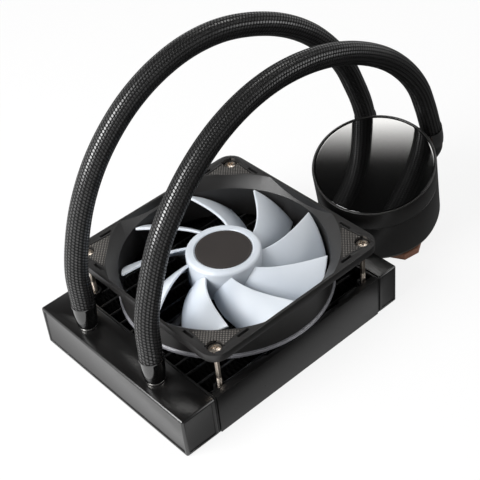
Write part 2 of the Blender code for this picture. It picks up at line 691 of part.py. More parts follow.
def fan_frame(parent):
    """Make the fan's frame: barrel, mouth, corner lobes, struts, motor base and bearing tube."""
    top = FAN_HEIGHT
    over = CUT_REACH
    cone_top = top - CONE_STEP
    barrel = [
        (0, 0), (FOOT_RING_RADIUS, 0), (FOOT_RING_RADIUS, FOOT_RING_HEIGHT),
        (BARREL_FOOT_RADIUS, FOOT_RING_HEIGHT), (BARREL_TOP_RADIUS, top), (0, top),
    ]
    frame = turned(barrel, FAN_STEPS, closed=False)
    joined(frame, prism(lobe_outline(), top - LOBE_THICKNESS, top))
    slope = (MOUTH_RADIUS - BORE_RADIUS) / MOUTH_DEPTH
    cone_foot = top - MOUTH_DEPTH - MOUTH_WALL
    rim = BORE_RADIUS + MOUTH_WALL + slope * (LOBE_THICKNESS - CONE_STEP + MOUTH_WALL)
    cone = turned([(0, cone_foot), (BORE_RADIUS + MOUTH_WALL / 2, cone_foot),
                   (rim, cone_top), (0, cone_top)], FAN_STEPS, closed=False)
    half = FAN_SIZE / 2
    combine(cone, box((-half, -half, 0), (half, half, top)), "INTERSECT")
    joined(frame, cone)
    cut(frame, cylinder(BORE_RADIUS, -over, top + over, FAN_STEPS))
    mouth = turned([(0, top - MOUTH_DEPTH), (BORE_RADIUS, top - MOUTH_DEPTH), (MOUTH_RADIUS, top),
                    (MOUTH_RADIUS + slope * over, top + over), (0, top + over)],
                   FAN_STEPS, closed=False)
    side = MOUTH_SIDE
    combine(mouth, box((-side, -side, 0), (side, side, top + 2 * over)), "INTERSECT")
    cut(frame, mouth)
    for x, y, sx, sy in screw_places():
        cut(frame, cylinder(SCREW_HOLE_RADIUS, 0, top + over, SMALL_STEPS, (x, y)))
        counterbore = (COUNTERBORE_RADIUS, top - COUNTERBORE_DEPTH, top + over, ROUND_STEPS, (x, y))
        cut(frame, cylinder(*counterbore))
        pocket = corner_outline(pad_points(GAP), sx, sy)
        cut(frame, prism(pocket, top - PAD_POCKET_DEPTH, top + over))
        for turned_over in (False, True):
            slot = corner_outline(slot_points(turned_over), sx, sy)
            cut(frame, prism(slot, top / 2, top + over))
    joined(frame, motor_mount())
    finished(frame, "fan_frame", "fan_plastic", parent)


def motor_mount():
    """Make the motor base with its bearing tube and the struts out into the barrel."""
    base = cylinder(MOTOR_BASE_RADIUS, 0, MOTOR_BASE_HEIGHT, ROUND_STEPS)
    for index in range(STRUT_COUNT):
        reach = (BORE_RADIUS + BARREL_FOOT_RADIUS) / 2
        strut = box((MOTOR_BASE_RADIUS - STRUT_WIDTH, -STRUT_WIDTH / 2, 0),
                    (reach, STRUT_WIDTH / 2, STRUT_HEIGHT))
        angle = STRUT_ANGLE + index * math.tau / STRUT_COUNT
        joined(base, moved(strut, Matrix.Rotation(angle, 4, "Z")))
    joined(base, cylinder(BEARING_TUBE_RADIUS, MOTOR_BASE_HEIGHT / 2, BEARING_TUBE_TOP, SMALL_STEPS))
    bore = (BEARING_RADIUS + GAP, MOTOR_BASE_HEIGHT, BEARING_TUBE_TOP + GAP, SMALL_STEPS)
    return cut(base, cylinder(*bore))


def corner_pads(parent):
    """Make the four rubber pads in the frame's corner pockets."""
    floor = FAN_HEIGHT - PAD_POCKET_DEPTH + GAP
    for number, (x, y, sx, sy) in enumerate(screw_places(), 1):
        pad = prism(corner_outline(pad_points(0), sx, sy), floor, floor + PAD_THICKNESS)
        hole = (COUNTERBORE_RADIUS, 0, FAN_HEIGHT + PAD_POCKET_DEPTH, ROUND_STEPS, (x, y))
        cut(pad, cylinder(*hole))
        finished(pad, f"corner_pad_{number}", "pad_rubber", parent)


def fan_screws(parent):
    """Make the four long screws down through the lobes into the radiator's lugs."""
    seat = FAN_HEIGHT - COUNTERBORE_DEPTH + GAP
    tip = CORE_BOTTOM + CORE_DEPTH + GAP - FAN_CENTRE.z
    crown = seat + SCREW_HEAD_HEIGHT
    profile = [
        (0, tip), (SCREW_TIP_RADIUS, tip), (SCREW_RADIUS, tip + SCREW_TIP_HEIGHT),
        (SCREW_RADIUS, seat), (SCREW_HEAD_RADIUS, seat), (SCREW_HEAD_RADIUS, seat + SCREW_HEAD_EDGE),
        (SCREW_HEAD_RADIUS * 0.8, crown - SCREW_CROWN), (SCREW_HEAD_RADIUS * 0.45, crown), (0, crown),
    ]
    screw = turned(profile, SMALL_STEPS, closed=False)
    for angle in (math.radians(45), math.radians(135)):
        arm = box((-CROSS_LENGTH / 2, -CROSS_WIDTH / 2, crown - CROSS_DEPTH),
                  (CROSS_LENGTH / 2, CROSS_WIDTH / 2, crown + CROSS_DEPTH))
        cut(screw, moved(arm, Matrix.Rotation(angle, 4, "Z")))
    places = [Matrix.Translation((x, y, 0)) for x, y, _, _ in screw_places()]
    first = finished(screw, "fan_screw_1", "screw_nickel", parent, places[0])
    for number, place in enumerate(places[1:], 2):
        copied(first, f"fan_screw_{number}", place)


def blade_point(span, chord, side):
    """Return a point of the first blade's skin; side is +1 for its upper face, -1 below."""
    radius = BLADE_ROOT_RADIUS + span * (BLADE_TIP_RADIUS - BLADE_ROOT_RADIUS)
    lead = BLADE_LEAD_ANGLE + BLADE_SWEEP * span + BLADE_SWEEP_EASE * span * span
    width = BLADE_ROOT_CHORD_ANGLE + span * (BLADE_TIP_CHORD_ANGLE - BLADE_ROOT_CHORD_ANGLE)
    angle = math.radians(lead - width * chord)
    trail = BLADE_ROOT_TRAIL_HEIGHT + span * (BLADE_TIP_TRAIL_HEIGHT - BLADE_ROOT_TRAIL_HEIGHT)
    height = BLADE_LEAD_HEIGHT + chord * (trail - BLADE_LEAD_HEIGHT)
    height += BLADE_CAMBER * 4 * chord * (1 - chord)
    thickness = BLADE_ROOT_THICKNESS + span * (BLADE_TIP_THICKNESS - BLADE_ROOT_THICKNESS)
    height += side * thickness / 2
    return Vector((radius * math.cos(angle), radius * math.sin(angle), height))


def blade(index):
    """Make one blade as a closed skin that starts inside the hub's wall."""
    bm = bmesh.new()
    grids = {}
    for side in (1, -1):
        grids[side] = [
            [bm.verts.new(blade_point(i / BLADE_SPAN_STEPS, j / BLADE_CHORD_STEPS, side))
             for j in range(BLADE_CHORD_STEPS + 1)]
            for i in range(BLADE_SPAN_STEPS + 1)
        ]
        grid = grids[side]
        for i in range(BLADE_SPAN_STEPS):
            for j in range(BLADE_CHORD_STEPS):
                bm.faces.new((grid[i][j], grid[i + 1][j], grid[i + 1][j + 1], grid[i][j + 1]))
    for upper, lower in zip(edge_loop(grids[1]), edge_loop(grids[-1])):
        bm.faces.new((upper[0], upper[1], lower[1], lower[0]))
    bmesh.ops.triangulate(bm, faces=bm.faces)
    skin = from_bmesh(bm)
    return moved(skin, Matrix.Rotation(index * math.tau / BLADE_COUNT, 4, "Z"))


def edge_loop(grid):
    """Return the pairs of points along the four sides of a grid, as one loop."""
    loop = list(grid[0])
    loop += [row[-1] for row in grid[1:]]
    loop += list(reversed(grid[-1][:-1]))
    loop += [row[0] for row in reversed(grid[1:-1])]
    return list(zip(loop, loop[1:] + loop[:1]))


def fan_rotor(parent):
    """Make the hub cup with its blades, on the fan's axis."""
    inner = HUB_RADIUS - HUB_WALL
    roof = HUB_TOP - LABEL_RECESS
    shoulder = [
        (HUB_RADIUS - HUB_SHOULDER + HUB_SHOULDER * math.sin(angle),
         HUB_TOP - HUB_SHOULDER + HUB_SHOULDER * math.cos(angle))
        for angle in (math.radians(degrees) for degrees in (90, 60, 30, 0))
    ]
    profile = [(0, roof - HUB_WALL), (inner, roof - HUB_WALL), (inner, HUB_FOOT)]
    profile += [(HUB_RADIUS, HUB_FOOT), *shoulder]
    profile += [(LABEL_RADIUS + GAP, HUB_TOP), (LABEL_RADIUS + GAP, roof), (0, roof)]
    rotor = turned(profile, 40, closed=False)
    for index in range(BLADE_COUNT):
        joined(rotor, blade(index))
    finished(rotor, "fan_rotor", "rotor_plastic", parent)
    label = cylinder(LABEL_RADIUS, roof + GAP, roof + GAP + LABEL_THICKNESS, 40)
    finished(label, "hub_label", "label_film", parent)
    shaft_top = roof - HUB_WALL - GAP
    shaft = cylinder(SHAFT_RADIUS, SHAFT_BOTTOM, shaft_top, SMALL_STEPS)
    finished(shaft, "fan_shaft", "steel", parent)
    magnet = turned([(MAGNET_INNER_RADIUS, MAGNET_BOTTOM), (MAGNET_OUTER_RADIUS, MAGNET_BOTTOM),
                     (MAGNET_OUTER_RADIUS, MAGNET_TOP), (MAGNET_INNER_RADIUS, MAGNET_TOP)],
                    ROUND_STEPS)
    finished(magnet, "fan_magnet_ring", "magnet_iron", parent)


def fan_motor(parent):
    """Make the fan's bearing, wound stator and circuit board on the motor base."""
    opening = SHAFT_RADIUS + RUNNING_CLEARANCE
    bottom = MOTOR_BASE_HEIGHT + GAP
    bearing = turned([(opening, bottom), (BEARING_RADIUS, bottom), (BEARING_RADIUS, BEARING_TUBE_TOP),
                      (opening, BEARING_TUBE_TOP)], SMALL_STEPS)
    finished(bearing, "fan_bearing", "bearing_bronze", parent)
    sleeve = BEARING_TUBE_RADIUS + GAP
    arms = toothed_outline(FAN_POLE_COUNT, STATOR_HUB_RADIUS, STATOR_RADIUS, FAN_POLE_WIDTH / 2)
    stator = prism(arms, STATOR_BOTTOM, STATOR_TOP)
    cut(stator, cylinder(sleeve, 0, FAN_HEIGHT, SMALL_STEPS))
    finished(stator, "fan_stator", "motor_core", parent)
    board = turned([(sleeve, BOARD_BOTTOM), (BOARD_RADIUS, BOARD_BOTTOM),
                    (BOARD_RADIUS, BOARD_BOTTOM + BOARD_THICKNESS),
                    (sleeve, BOARD_BOTTOM + BOARD_THICKNESS)], ROUND_STEPS)
    finished(board, "fan_circuit_board", "circuit_board", parent)


def fan(parent):
    """Make the whole fan on its own empty, whose Z is the rotor's axis."""
    axis = empty("fan_axis", parent, Matrix.Translation(FAN_CENTRE))
    fan_frame(axis)
    corner_pads(axis)
    fan_screws(axis)
    fan_rotor(axis)
    fan_motor(axis)


def sleeve_shape():
    """Make a hose sleeve whose flat top is at z = 0, with its taper below."""
    foot = -SLEEVE_LENGTH
    stem = STEM_RADIUS + GAP
    profile = [
        (stem, foot), (SLEEVE_FOOT_RADIUS, foot), (SLEEVE_WAIST_RADIUS, -SLEEVE_WAIST_DEPTH),
        (SLEEVE_LIP_RADIUS, -SLEEVE_LIP_HEIGHT), (SLEEVE_LIP_RADIUS - SLEEVE_LIP_HEIGHT, 0),
        (stem, 0),
    ]
    return turned(profile, ROUND_STEPS)


def sleeves(parent):
    """Set a sleeve on each tank neck and on each pump elbow."""
    shape = sleeve_shape()
    places = {}
    for side in HOSE_ROUTES_MM:
        start, end = hose_points(side)[0], hose_points(side)[-1]
        start.z = HOSE_START_HEIGHT
        lean = UP.rotation_difference(hose_end_direction(side)).to_matrix().to_4x4()
        places[f"tank_sleeve_{side}"] = Matrix.Translation(start)
        places[f"pump_sleeve_{side}"] = Matrix.Translation(end) @ lean
    names = list(places)
    first = finished(shape, names[0], "sleeve_gloss", parent, places[names[0]])
    for name in names[1:]:
        copied(first, name, places[name])


def smooth_route(points, count):
    """Read evenly spaced points from a Catmull-Rom curve through the route's own points."""
    ends = [2 * points[0] - points[1], *points, 2 * points[-1] - points[-2]]
    fine = []
    for index in range(1, len(ends) - 2):
        a, b, c, d = ends[index - 1:index + 3]
        for part in range(8):
            t = part / 8
            fine.append(0.5 * (2 * b + (c - a) * t + (2 * a - 5 * b + 4 * c - d) * t * t
                               + (3 * b - a - 3 * c + d) * t * t * t))
    fine.append(points[-1])
    lengths = [0.0]
    for before, after in zip(fine, fine[1:]):
        lengths.append(lengths[-1] + (after - before).length)
    even = []
    place = 0
    for index in range(count):
        wanted = lengths[-1] * index / (count - 1)
        while place < len(fine) - 2 and lengths[place + 1] < wanted:
            place += 1
        share = (wanted - lengths[place]) / (lengths[place + 1] - lengths[place])
        even.append(fine[place].lerp(fine[place + 1], share))
    return even


def hose(side, parent):
    """Make one hose as a bevelled curve from sleeve top to sleeve top."""
    route = hose_points(side)
    route[0].z = HOSE_START_HEIGHT
    length = sum((b - a).length for a, b in zip(route, route[1:]))
    count = round(length / (HOSE_POINT_SPACING * 2 * HOSE_RADIUS)) + 1
    points = smooth_route(route, count)
    points[0] += HOSE_STRAIGHT * UP
    points[-1] += HOSE_STRAIGHT * hose_end_direction(side)
    points.insert(0, route[0] + GAP * UP)
    points.append(route[-1] + GAP * hose_end_direction(side))
    name = f"hose_{side}"
    curve = bpy.data.curves.new(name, "CURVE")
    curve.dimensions = "3D"
    curve.bevel_depth = HOSE_RADIUS
    curve.bevel_resolution = 3
    curve.render_resolution_u = 0
    curve.use_fill_caps = True
    spline = curve.splines.new("POLY")
    spline.points.add(len(points) - 1)
    for target, point in zip(spline.points, points):
        target.co = (*point, 1.0)
    curve.materials.append(slot_material("hose_braid"))
    item = bpy.data.objects.new(name, curve)
    bpy.context.collection.objects.link(item)
    item.parent = parent


def cold_plate(parent):
    """Make the copper cold plate: chamfered square, round step and a block of small fins."""
    half, chamfer = COLD_PLATE_SIZE / 2, COLD_PLATE_CHAMFER
    outline = []
    for sx, sy in ((1, 1), (-1, 1), (-1, -1), (1, -1)):
        pair = [(sx * half, sy * (half - chamfer)), (sx * (half - chamfer), sy * half)]
        outline += pair if sx * sy > 0 else pair[::-1]
    plate = prism(outline, 0, COLD_PLATE_THICKNESS)
    step_top = COLD_PLATE_THICKNESS + COLD_PLATE_STEP_HEIGHT
    joined(plate, cylinder(COLD_PLATE_STEP_RADIUS, COLD_PLATE_THICKNESS / 2, step_top, ROUND_STEPS))
    pitch = MICRO_FIN_BLOCK / (2 * MICRO_FIN_COUNT - 1)
    for index in range(MICRO_FIN_COUNT):
        x = -MICRO_FIN_BLOCK / 2 + 2 * index * pitch
        low = (x, -MICRO_FIN_BLOCK / 2, COLD_PLATE_THICKNESS)
        joined(plate, box(low, (x + pitch, MICRO_FIN_BLOCK / 2, step_top + MICRO_FIN_HEIGHT)))
    finished(plate, "cold_plate", "plate_copper", parent)


def pump_body(parent):
    """Make the pump's housing: water chamber below, motor room above, two hose ports."""
    edge = BODY_EDGE
    profile = [
        (0, CAN_TOP - CAN_ROOF), (CAN_BORE_RADIUS, CAN_TOP - CAN_ROOF),
        (CAN_BORE_RADIUS, WATER_CHAMBER_TOP), (WATER_CHAMBER_RADIUS, WATER_CHAMBER_TOP),
        (WATER_CHAMBER_RADIUS, BODY_BOTTOM), (BODY_NECK_RADIUS, BODY_BOTTOM),
        (BODY_NECK_RADIUS, BODY_WALL_BOTTOM), (PUMP_RADIUS - edge, BODY_WALL_BOTTOM),
        (PUMP_RADIUS, BODY_WALL_BOTTOM + edge), (PUMP_RADIUS, BODY_TOP - edge),
        (PUMP_RADIUS - edge, BODY_TOP), (MOTOR_ROOM_RADIUS, BODY_TOP),
        (MOTOR_ROOM_RADIUS, MOTOR_ROOM_FLOOR), (CAN_RADIUS, MOTOR_ROOM_FLOOR),
        (CAN_RADIUS, CAN_TOP), (0, CAN_TOP),
    ]
    body = turned(profile, PUMP_STEPS, closed=False)
    for angle in PORT_ANGLES.values():
        turn = Matrix.Rotation(angle, 4, "Z") @ Matrix.Translation((0, 0, PORT_HEIGHT))
        aim = turn @ Matrix.Rotation(math.radians(90), 4, "Y")
        cut_end = PUMP_RADIUS + CUT_REACH
        socket = cylinder(PORT_RADIUS, SPIGOT_START - GAP, cut_end, SMALL_STEPS)
        cut(body, moved(socket, aim))
        bore = cylinder(PORT_BORE_RADIUS, WATER_CHAMBER_RADIUS - CUT_REACH, cut_end, SMALL_STEPS)
        cut(body, moved(bore, aim))
    finished(body, "pump_body", "pump_satin", parent)


def pump_cap(parent):
    """Make the cap ring, the dark lens disc in it and the light board below."""
    edge = BODY_EDGE
    lens_top = PUMP_HEIGHT - LENS_SINK
    ledge = lens_top - LENS_THICKNESS - GAP
    seat = LENS_RADIUS + GAP
    profile = [
        (CAP_OPENING, CAP_BOTTOM), (PUMP_RADIUS - edge, CAP_BOTTOM), (PUMP_RADIUS, CAP_BOTTOM + edge),
        (PUMP_RADIUS, PUMP_HEIGHT - edge), (PUMP_RADIUS - edge, PUMP_HEIGHT), (seat, PUMP_HEIGHT),
        (seat, ledge), (CAP_OPENING, ledge),
    ]
    finished(turned(profile, PUMP_STEPS), "pump_cap", "pump_satin", parent)
    lens = turned([(0, ledge + GAP), (LENS_RADIUS, ledge + GAP), (LENS_RADIUS, lens_top - LENS_EDGE),
                   (LENS_RADIUS - LENS_EDGE, lens_top), (0, lens_top)], PUMP_STEPS, closed=False)
    finished(lens, "pump_lens", "lens_gloss", parent)
    board = cylinder(CAP_OPENING - GAP, LIGHT_BOARD_BOTTOM,
                     LIGHT_BOARD_BOTTOM + LIGHT_BOARD_THICKNESS, ROUND_STEPS)
    finished(board, "pump_light_board", "circuit_board", parent)


def pump_motor(parent):
    """Make the pump's wound stator round the can, in the dry motor room."""
    bottom = MOTOR_ROOM_FLOOR + GAP
    top = bottom + PUMP_STATOR_HEIGHT
    outer = MOTOR_ROOM_RADIUS - GAP
    stator = cylinder(outer, bottom, top)
    gaps = toothed_outline(POLE_COUNT, YOKE_INNER_RADIUS, CAN_RADIUS + GAP, POLE_WIDTH / 2)
    cut(stator, prism(gaps, 0, top + CUT_REACH))
    finished(stator, "pump_stator", "motor_core", parent)


def impeller(parent):
    """Make the impeller with its magnet core and the pin that it turns with."""
    top = IMPELLER_BOTTOM + IMPELLER_DISC
    wheel = turned([(0, IMPELLER_BOTTOM), (IMPELLER_RADIUS, IMPELLER_BOTTOM), (IMPELLER_RADIUS, top),
                    (IMPELLER_MAGNET_RADIUS, top), (IMPELLER_MAGNET_RADIUS, IMPELLER_MAGNET_TOP),
                    (0, IMPELLER_MAGNET_TOP)], ROUND_STEPS, closed=False)
    for index in range(IMPELLER_VANES):
        vane = box((IMPELLER_VANE_START, -IMPELLER_VANE_WIDTH / 2, IMPELLER_BOTTOM + GAP),
                   (IMPELLER_RADIUS - GAP, IMPELLER_VANE_WIDTH / 2, top + IMPELLER_VANE_HEIGHT))
        joined(wheel, moved(vane, Matrix.Rotation(index * math.tau / IMPELLER_VANES, 4, "Z")))
    opening = SHAFT_RADIUS + GAP
    cut(wheel, cylinder(opening, 0, PUMP_HEIGHT, SMALL_STEPS))
    finished(wheel, "pump_impeller", "impeller_plastic", parent)
    pin = cylinder(SHAFT_RADIUS, IMPELLER_BOTTOM - GAP, CAN_TOP - CAN_ROOF - GAP, SMALL_STEPS)
    finished(pin, "pump_impeller_pin", "steel", parent)


def ring_points(centre, along, radius, steps, across):
    """Return a ring of points about a centre, square to a direction."""
    side = along.cross(across).normalized()
    front = side.cross(along).normalized()
    angles = [math.tau * index / steps for index in range(steps)]
    return [centre + radius * (math.cos(a) * front + math.sin(a) * side) for a in angles]


def swept(stations, steps):
    """Sweep a tube wall through stations of (centre, direction, inner and outer radius)."""
    bm = bmesh.new()
    across = Vector((0, 0, 1)).cross(stations[0][1]).normalized()
    inner, outer = [], []
    for centre, along, bore, radius in stations:
        inner.append([bm.verts.new(p) for p in ring_points(centre, along, bore, steps, across)])
        outer.append([bm.verts.new(p) for p in ring_points(centre, along, radius, steps, across)])
    loop = outer + inner[::-1]
    for low, high in zip(loop, loop[1:] + loop[:1]):
        for index in range(steps):
            following = (index + 1) % steps
            bm.faces.new((low[index], low[following], high[following], high[index]))
    return from_bmesh(bm)


def bezier(points, t):
    """Return a cubic curve's point and unit direction at t."""
    a, b, c, d = points
    s = 1 - t
    place = s**3 * a + 3 * s * s * t * b + 3 * s * t * t * c + t**3 * d
    slope = s * s * (b - a) + 2 * s * t * (c - b) + t * t * (d - c)
    return place, slope.normalized()


def elbow(side, parent):
    """Make one swivel elbow, from its port in the pump's wall round to its hose sleeve."""
    to_pump = pump_matrix().inverted()
    angle = PORT_ANGLES[side]
    out = Vector((math.cos(angle), math.sin(angle), 0))
    port = Vector((0, 0, PORT_HEIGHT))
    end = to_pump @ hose_points(side)[-1]
    rise = to_pump.to_3x3() @ hose_end_direction(side)
    collar = PUMP_RADIUS + GAP
    bend_start = port + out * (collar + ELBOW_COLLAR_LENGTH)
    shoulder = end - rise * (SLEEVE_LENGTH + GAP)
    bend_end = shoulder - rise * ELBOW_STRAIGHT
    curve = (bend_start, bend_start + out * ELBOW_PULL, bend_end - rise * ELBOW_PULL, bend_end)
    bore = STEM_BORE_RADIUS
    stations = [
        (port + out * SPIGOT_START, out, bore, STEM_RADIUS),
        (port + out * collar, out, bore, STEM_RADIUS),
        (port + out * collar, out, bore, ELBOW_COLLAR_RADIUS),
        (bend_start, out, bore, ELBOW_COLLAR_RADIUS),
    ]
    for index in range(ELBOW_STEPS + 1):
        place, along = bezier(curve, index / ELBOW_STEPS)
        stations.append((place, along, bore, ELBOW_RADIUS))
    stations.append((shoulder, rise, bore, ELBOW_RADIUS))
    stations.append((shoulder, rise, bore, STEM_RADIUS))
    stations.append((end - rise * GAP, rise, bore, STEM_RADIUS))
    finished(swept(stations, SMALL_STEPS), f"pump_elbow_{side}", "sleeve_gloss", parent)


def pump_head(parent):
    """Make the whole pump head on its own empty, whose Z is the impeller's axis."""
    axis = empty("pump_axis", parent, pump_matrix())
    cold_plate(axis)
    base = turned([(BASE_PLATE_OPENING, BASE_PLATE_BOTTOM), (BASE_PLATE_RADIUS, BASE_PLATE_BOTTOM),
                   (BASE_PLATE_RADIUS, BASE_PLATE_BOTTOM + BASE_PLATE_THICKNESS),
                   (BASE_PLATE_OPENING, BASE_PLATE_BOTTOM + BASE_PLATE_THICKNESS)], PUMP_STEPS)
    finished(base, "pump_base_plate", "plate_steel", axis)
    gasket = turned([(GASKET_OPENING, BASE_PLATE_BOTTOM), (GASKET_RADIUS, BASE_PLATE_BOTTOM),
                     (GASKET_RADIUS, BASE_PLATE_BOTTOM + BASE_PLATE_THICKNESS),
                     (GASKET_OPENING, BASE_PLATE_BOTTOM + BASE_PLATE_THICKNESS)], ROUND_STEPS)
    finished(gasket, "pump_gasket", "gasket_rubber", axis)
    pump_body(axis)
    pump_cap(axis)
    pump_motor(axis)
    impeller(axis)
    for side in PORT_ANGLES:
        elbow(side, axis)


def centred(cooler):
    """Bring the origin under the middle of the footprint of all the pieces but the hoses."""
    bpy.context.view_layer.update()
    rigid = [item for item in bpy.data.objects if item.type == "MESH"]
    reach = [(item.matrix_world @ vert.co).x for item in rigid for vert in item.data.vertices]
    middle = (min(reach) + max(reach)) / 2
    cooler.location = (-middle, -RADIATOR_WIDTH / 2, 0)
    bpy.context.view_layer.update()


def main():
    """Build the cooler, with its origin under the middle of its footprint."""
    clear_scene()
    cooler = empty("cooler")
    radiator(cooler)
    fan(cooler)
    sleeves(cooler)
    for side in HOSE_ROUTES_MM:
        hose(side, cooler)
    pump_head(cooler)
    centred(cooler)


main()
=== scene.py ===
"""Dresses a packed all-in-one liquid cooler: braided hoses, frosted fan wheel, glossy pump lens.

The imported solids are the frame. Each sub-assembly is a class that builds its finer pieces over
them and gives every surface its finish. +Z is up. Meshes, the studio and the shader nodes are in
metres; outlines, finishes and the measures of the sub-assemblies are in millimetres.
"""

from __future__ import annotations

import logging
import math
from dataclasses import dataclass
from enum import Enum
from typing import Callable, Sequence, Union

import bmesh
import bpy
from mathutils import Matrix, Vector


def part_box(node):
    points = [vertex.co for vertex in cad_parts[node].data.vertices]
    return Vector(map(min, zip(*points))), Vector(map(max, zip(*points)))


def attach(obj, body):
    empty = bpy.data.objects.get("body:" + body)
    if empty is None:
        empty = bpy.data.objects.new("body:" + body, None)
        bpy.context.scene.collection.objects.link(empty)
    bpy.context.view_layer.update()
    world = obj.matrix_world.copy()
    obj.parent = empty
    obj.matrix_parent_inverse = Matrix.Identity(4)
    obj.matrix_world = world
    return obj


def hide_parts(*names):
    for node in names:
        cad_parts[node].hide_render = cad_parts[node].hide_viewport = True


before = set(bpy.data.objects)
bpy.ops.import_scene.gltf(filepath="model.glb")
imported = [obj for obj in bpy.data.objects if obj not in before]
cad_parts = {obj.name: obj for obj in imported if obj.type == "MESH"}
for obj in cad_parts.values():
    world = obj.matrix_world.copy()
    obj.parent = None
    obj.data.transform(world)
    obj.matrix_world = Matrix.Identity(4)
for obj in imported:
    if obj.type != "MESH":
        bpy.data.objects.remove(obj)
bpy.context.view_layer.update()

LOG = logging.getLogger("cooler")
MM = 0.001
ON_AXIS = 1e-7
FAN_HEIGHT = 25.0 * MM
CORNER = Vector((-122.349, -60.0, 0.0)) * MM
FAN_CENTRE = CORNER + Vector((83.7, 60.0, 26.3)) * MM
PUMP_AXIS = Vector((-0.250143, -0.130216, 0.959413))
PUMP_FRONT = Vector((0.851009, 0.443007, 0.282007))
PUMP_FOOT = Vector((75.003, -9.798, 7.896)) * MM
UP = Vector((0.0, 0.0, 1.0))
WHITE = (1.0, 1.0, 1.0)

Colour = tuple[float, float, float]
Span = tuple[float, float]
Mesh = bmesh.types.BMesh
Profile = Sequence[Sequence[float]]
Value = Union["Signal", float]


class Body(Enum):
    """The rigid bodies that new pieces ride on."""

    BASE = "cooler_base"
    WHEEL = "fan_wheel"


class Signal:
    """A shader socket that adds maths nodes when it is used in an expression."""

    def __init__(self, paint: "Paint", socket: bpy.types.NodeSocket) -> None:
        """Wrap a node's output socket.

        Args:
            paint: The material that the socket belongs to.
            socket: The output socket.
        """
        self.paint = paint
        self.socket = socket

    def __add__(self, other: Value) -> "Signal":
        """Return the sum."""
        return self.paint.maths("ADD", self, other)

    def __sub__(self, other: Value) -> "Signal":
        """Return the difference."""
        return self.paint.maths("SUBTRACT", self, other)

    def __rsub__(self, other: Value) -> "Signal":
        """Return the difference with this value taken away."""
        return self.paint.maths("SUBTRACT", other, self)

    def __mul__(self, other: Value) -> "Signal":
        """Return the product."""
        return self.paint.maths("MULTIPLY", self, other)

    __radd__ = __add__

    def __mod__(self, other: Value) -> "Signal":
        """Return the remainder, which is never negative."""
        return self.paint.maths("FLOORED_MODULO", self, other)

    def floor(self) -> "Signal":
        """Return the whole number below."""
        return self.paint.maths("FLOOR", self)

    def wave(self) -> "Signal":
        """Return the sine of half a turn for each whole number."""
        return self.paint.maths("SINE", self * math.pi)

    def size(self) -> "Signal":
        """Return the value without its sign."""
        return self.paint.maths("ABSOLUTE", self)

    def step(self, low: float, high: float) -> "Signal":
        """Return a smooth step from 0 at low to 1 at high."""
        settings = {"interpolation_type": "SMOOTHSTEP"}
        inputs = {"Value": self, "From Min": low, "From Max": high}
        return self.paint.node("ShaderNodeMapRange", settings, inputs)


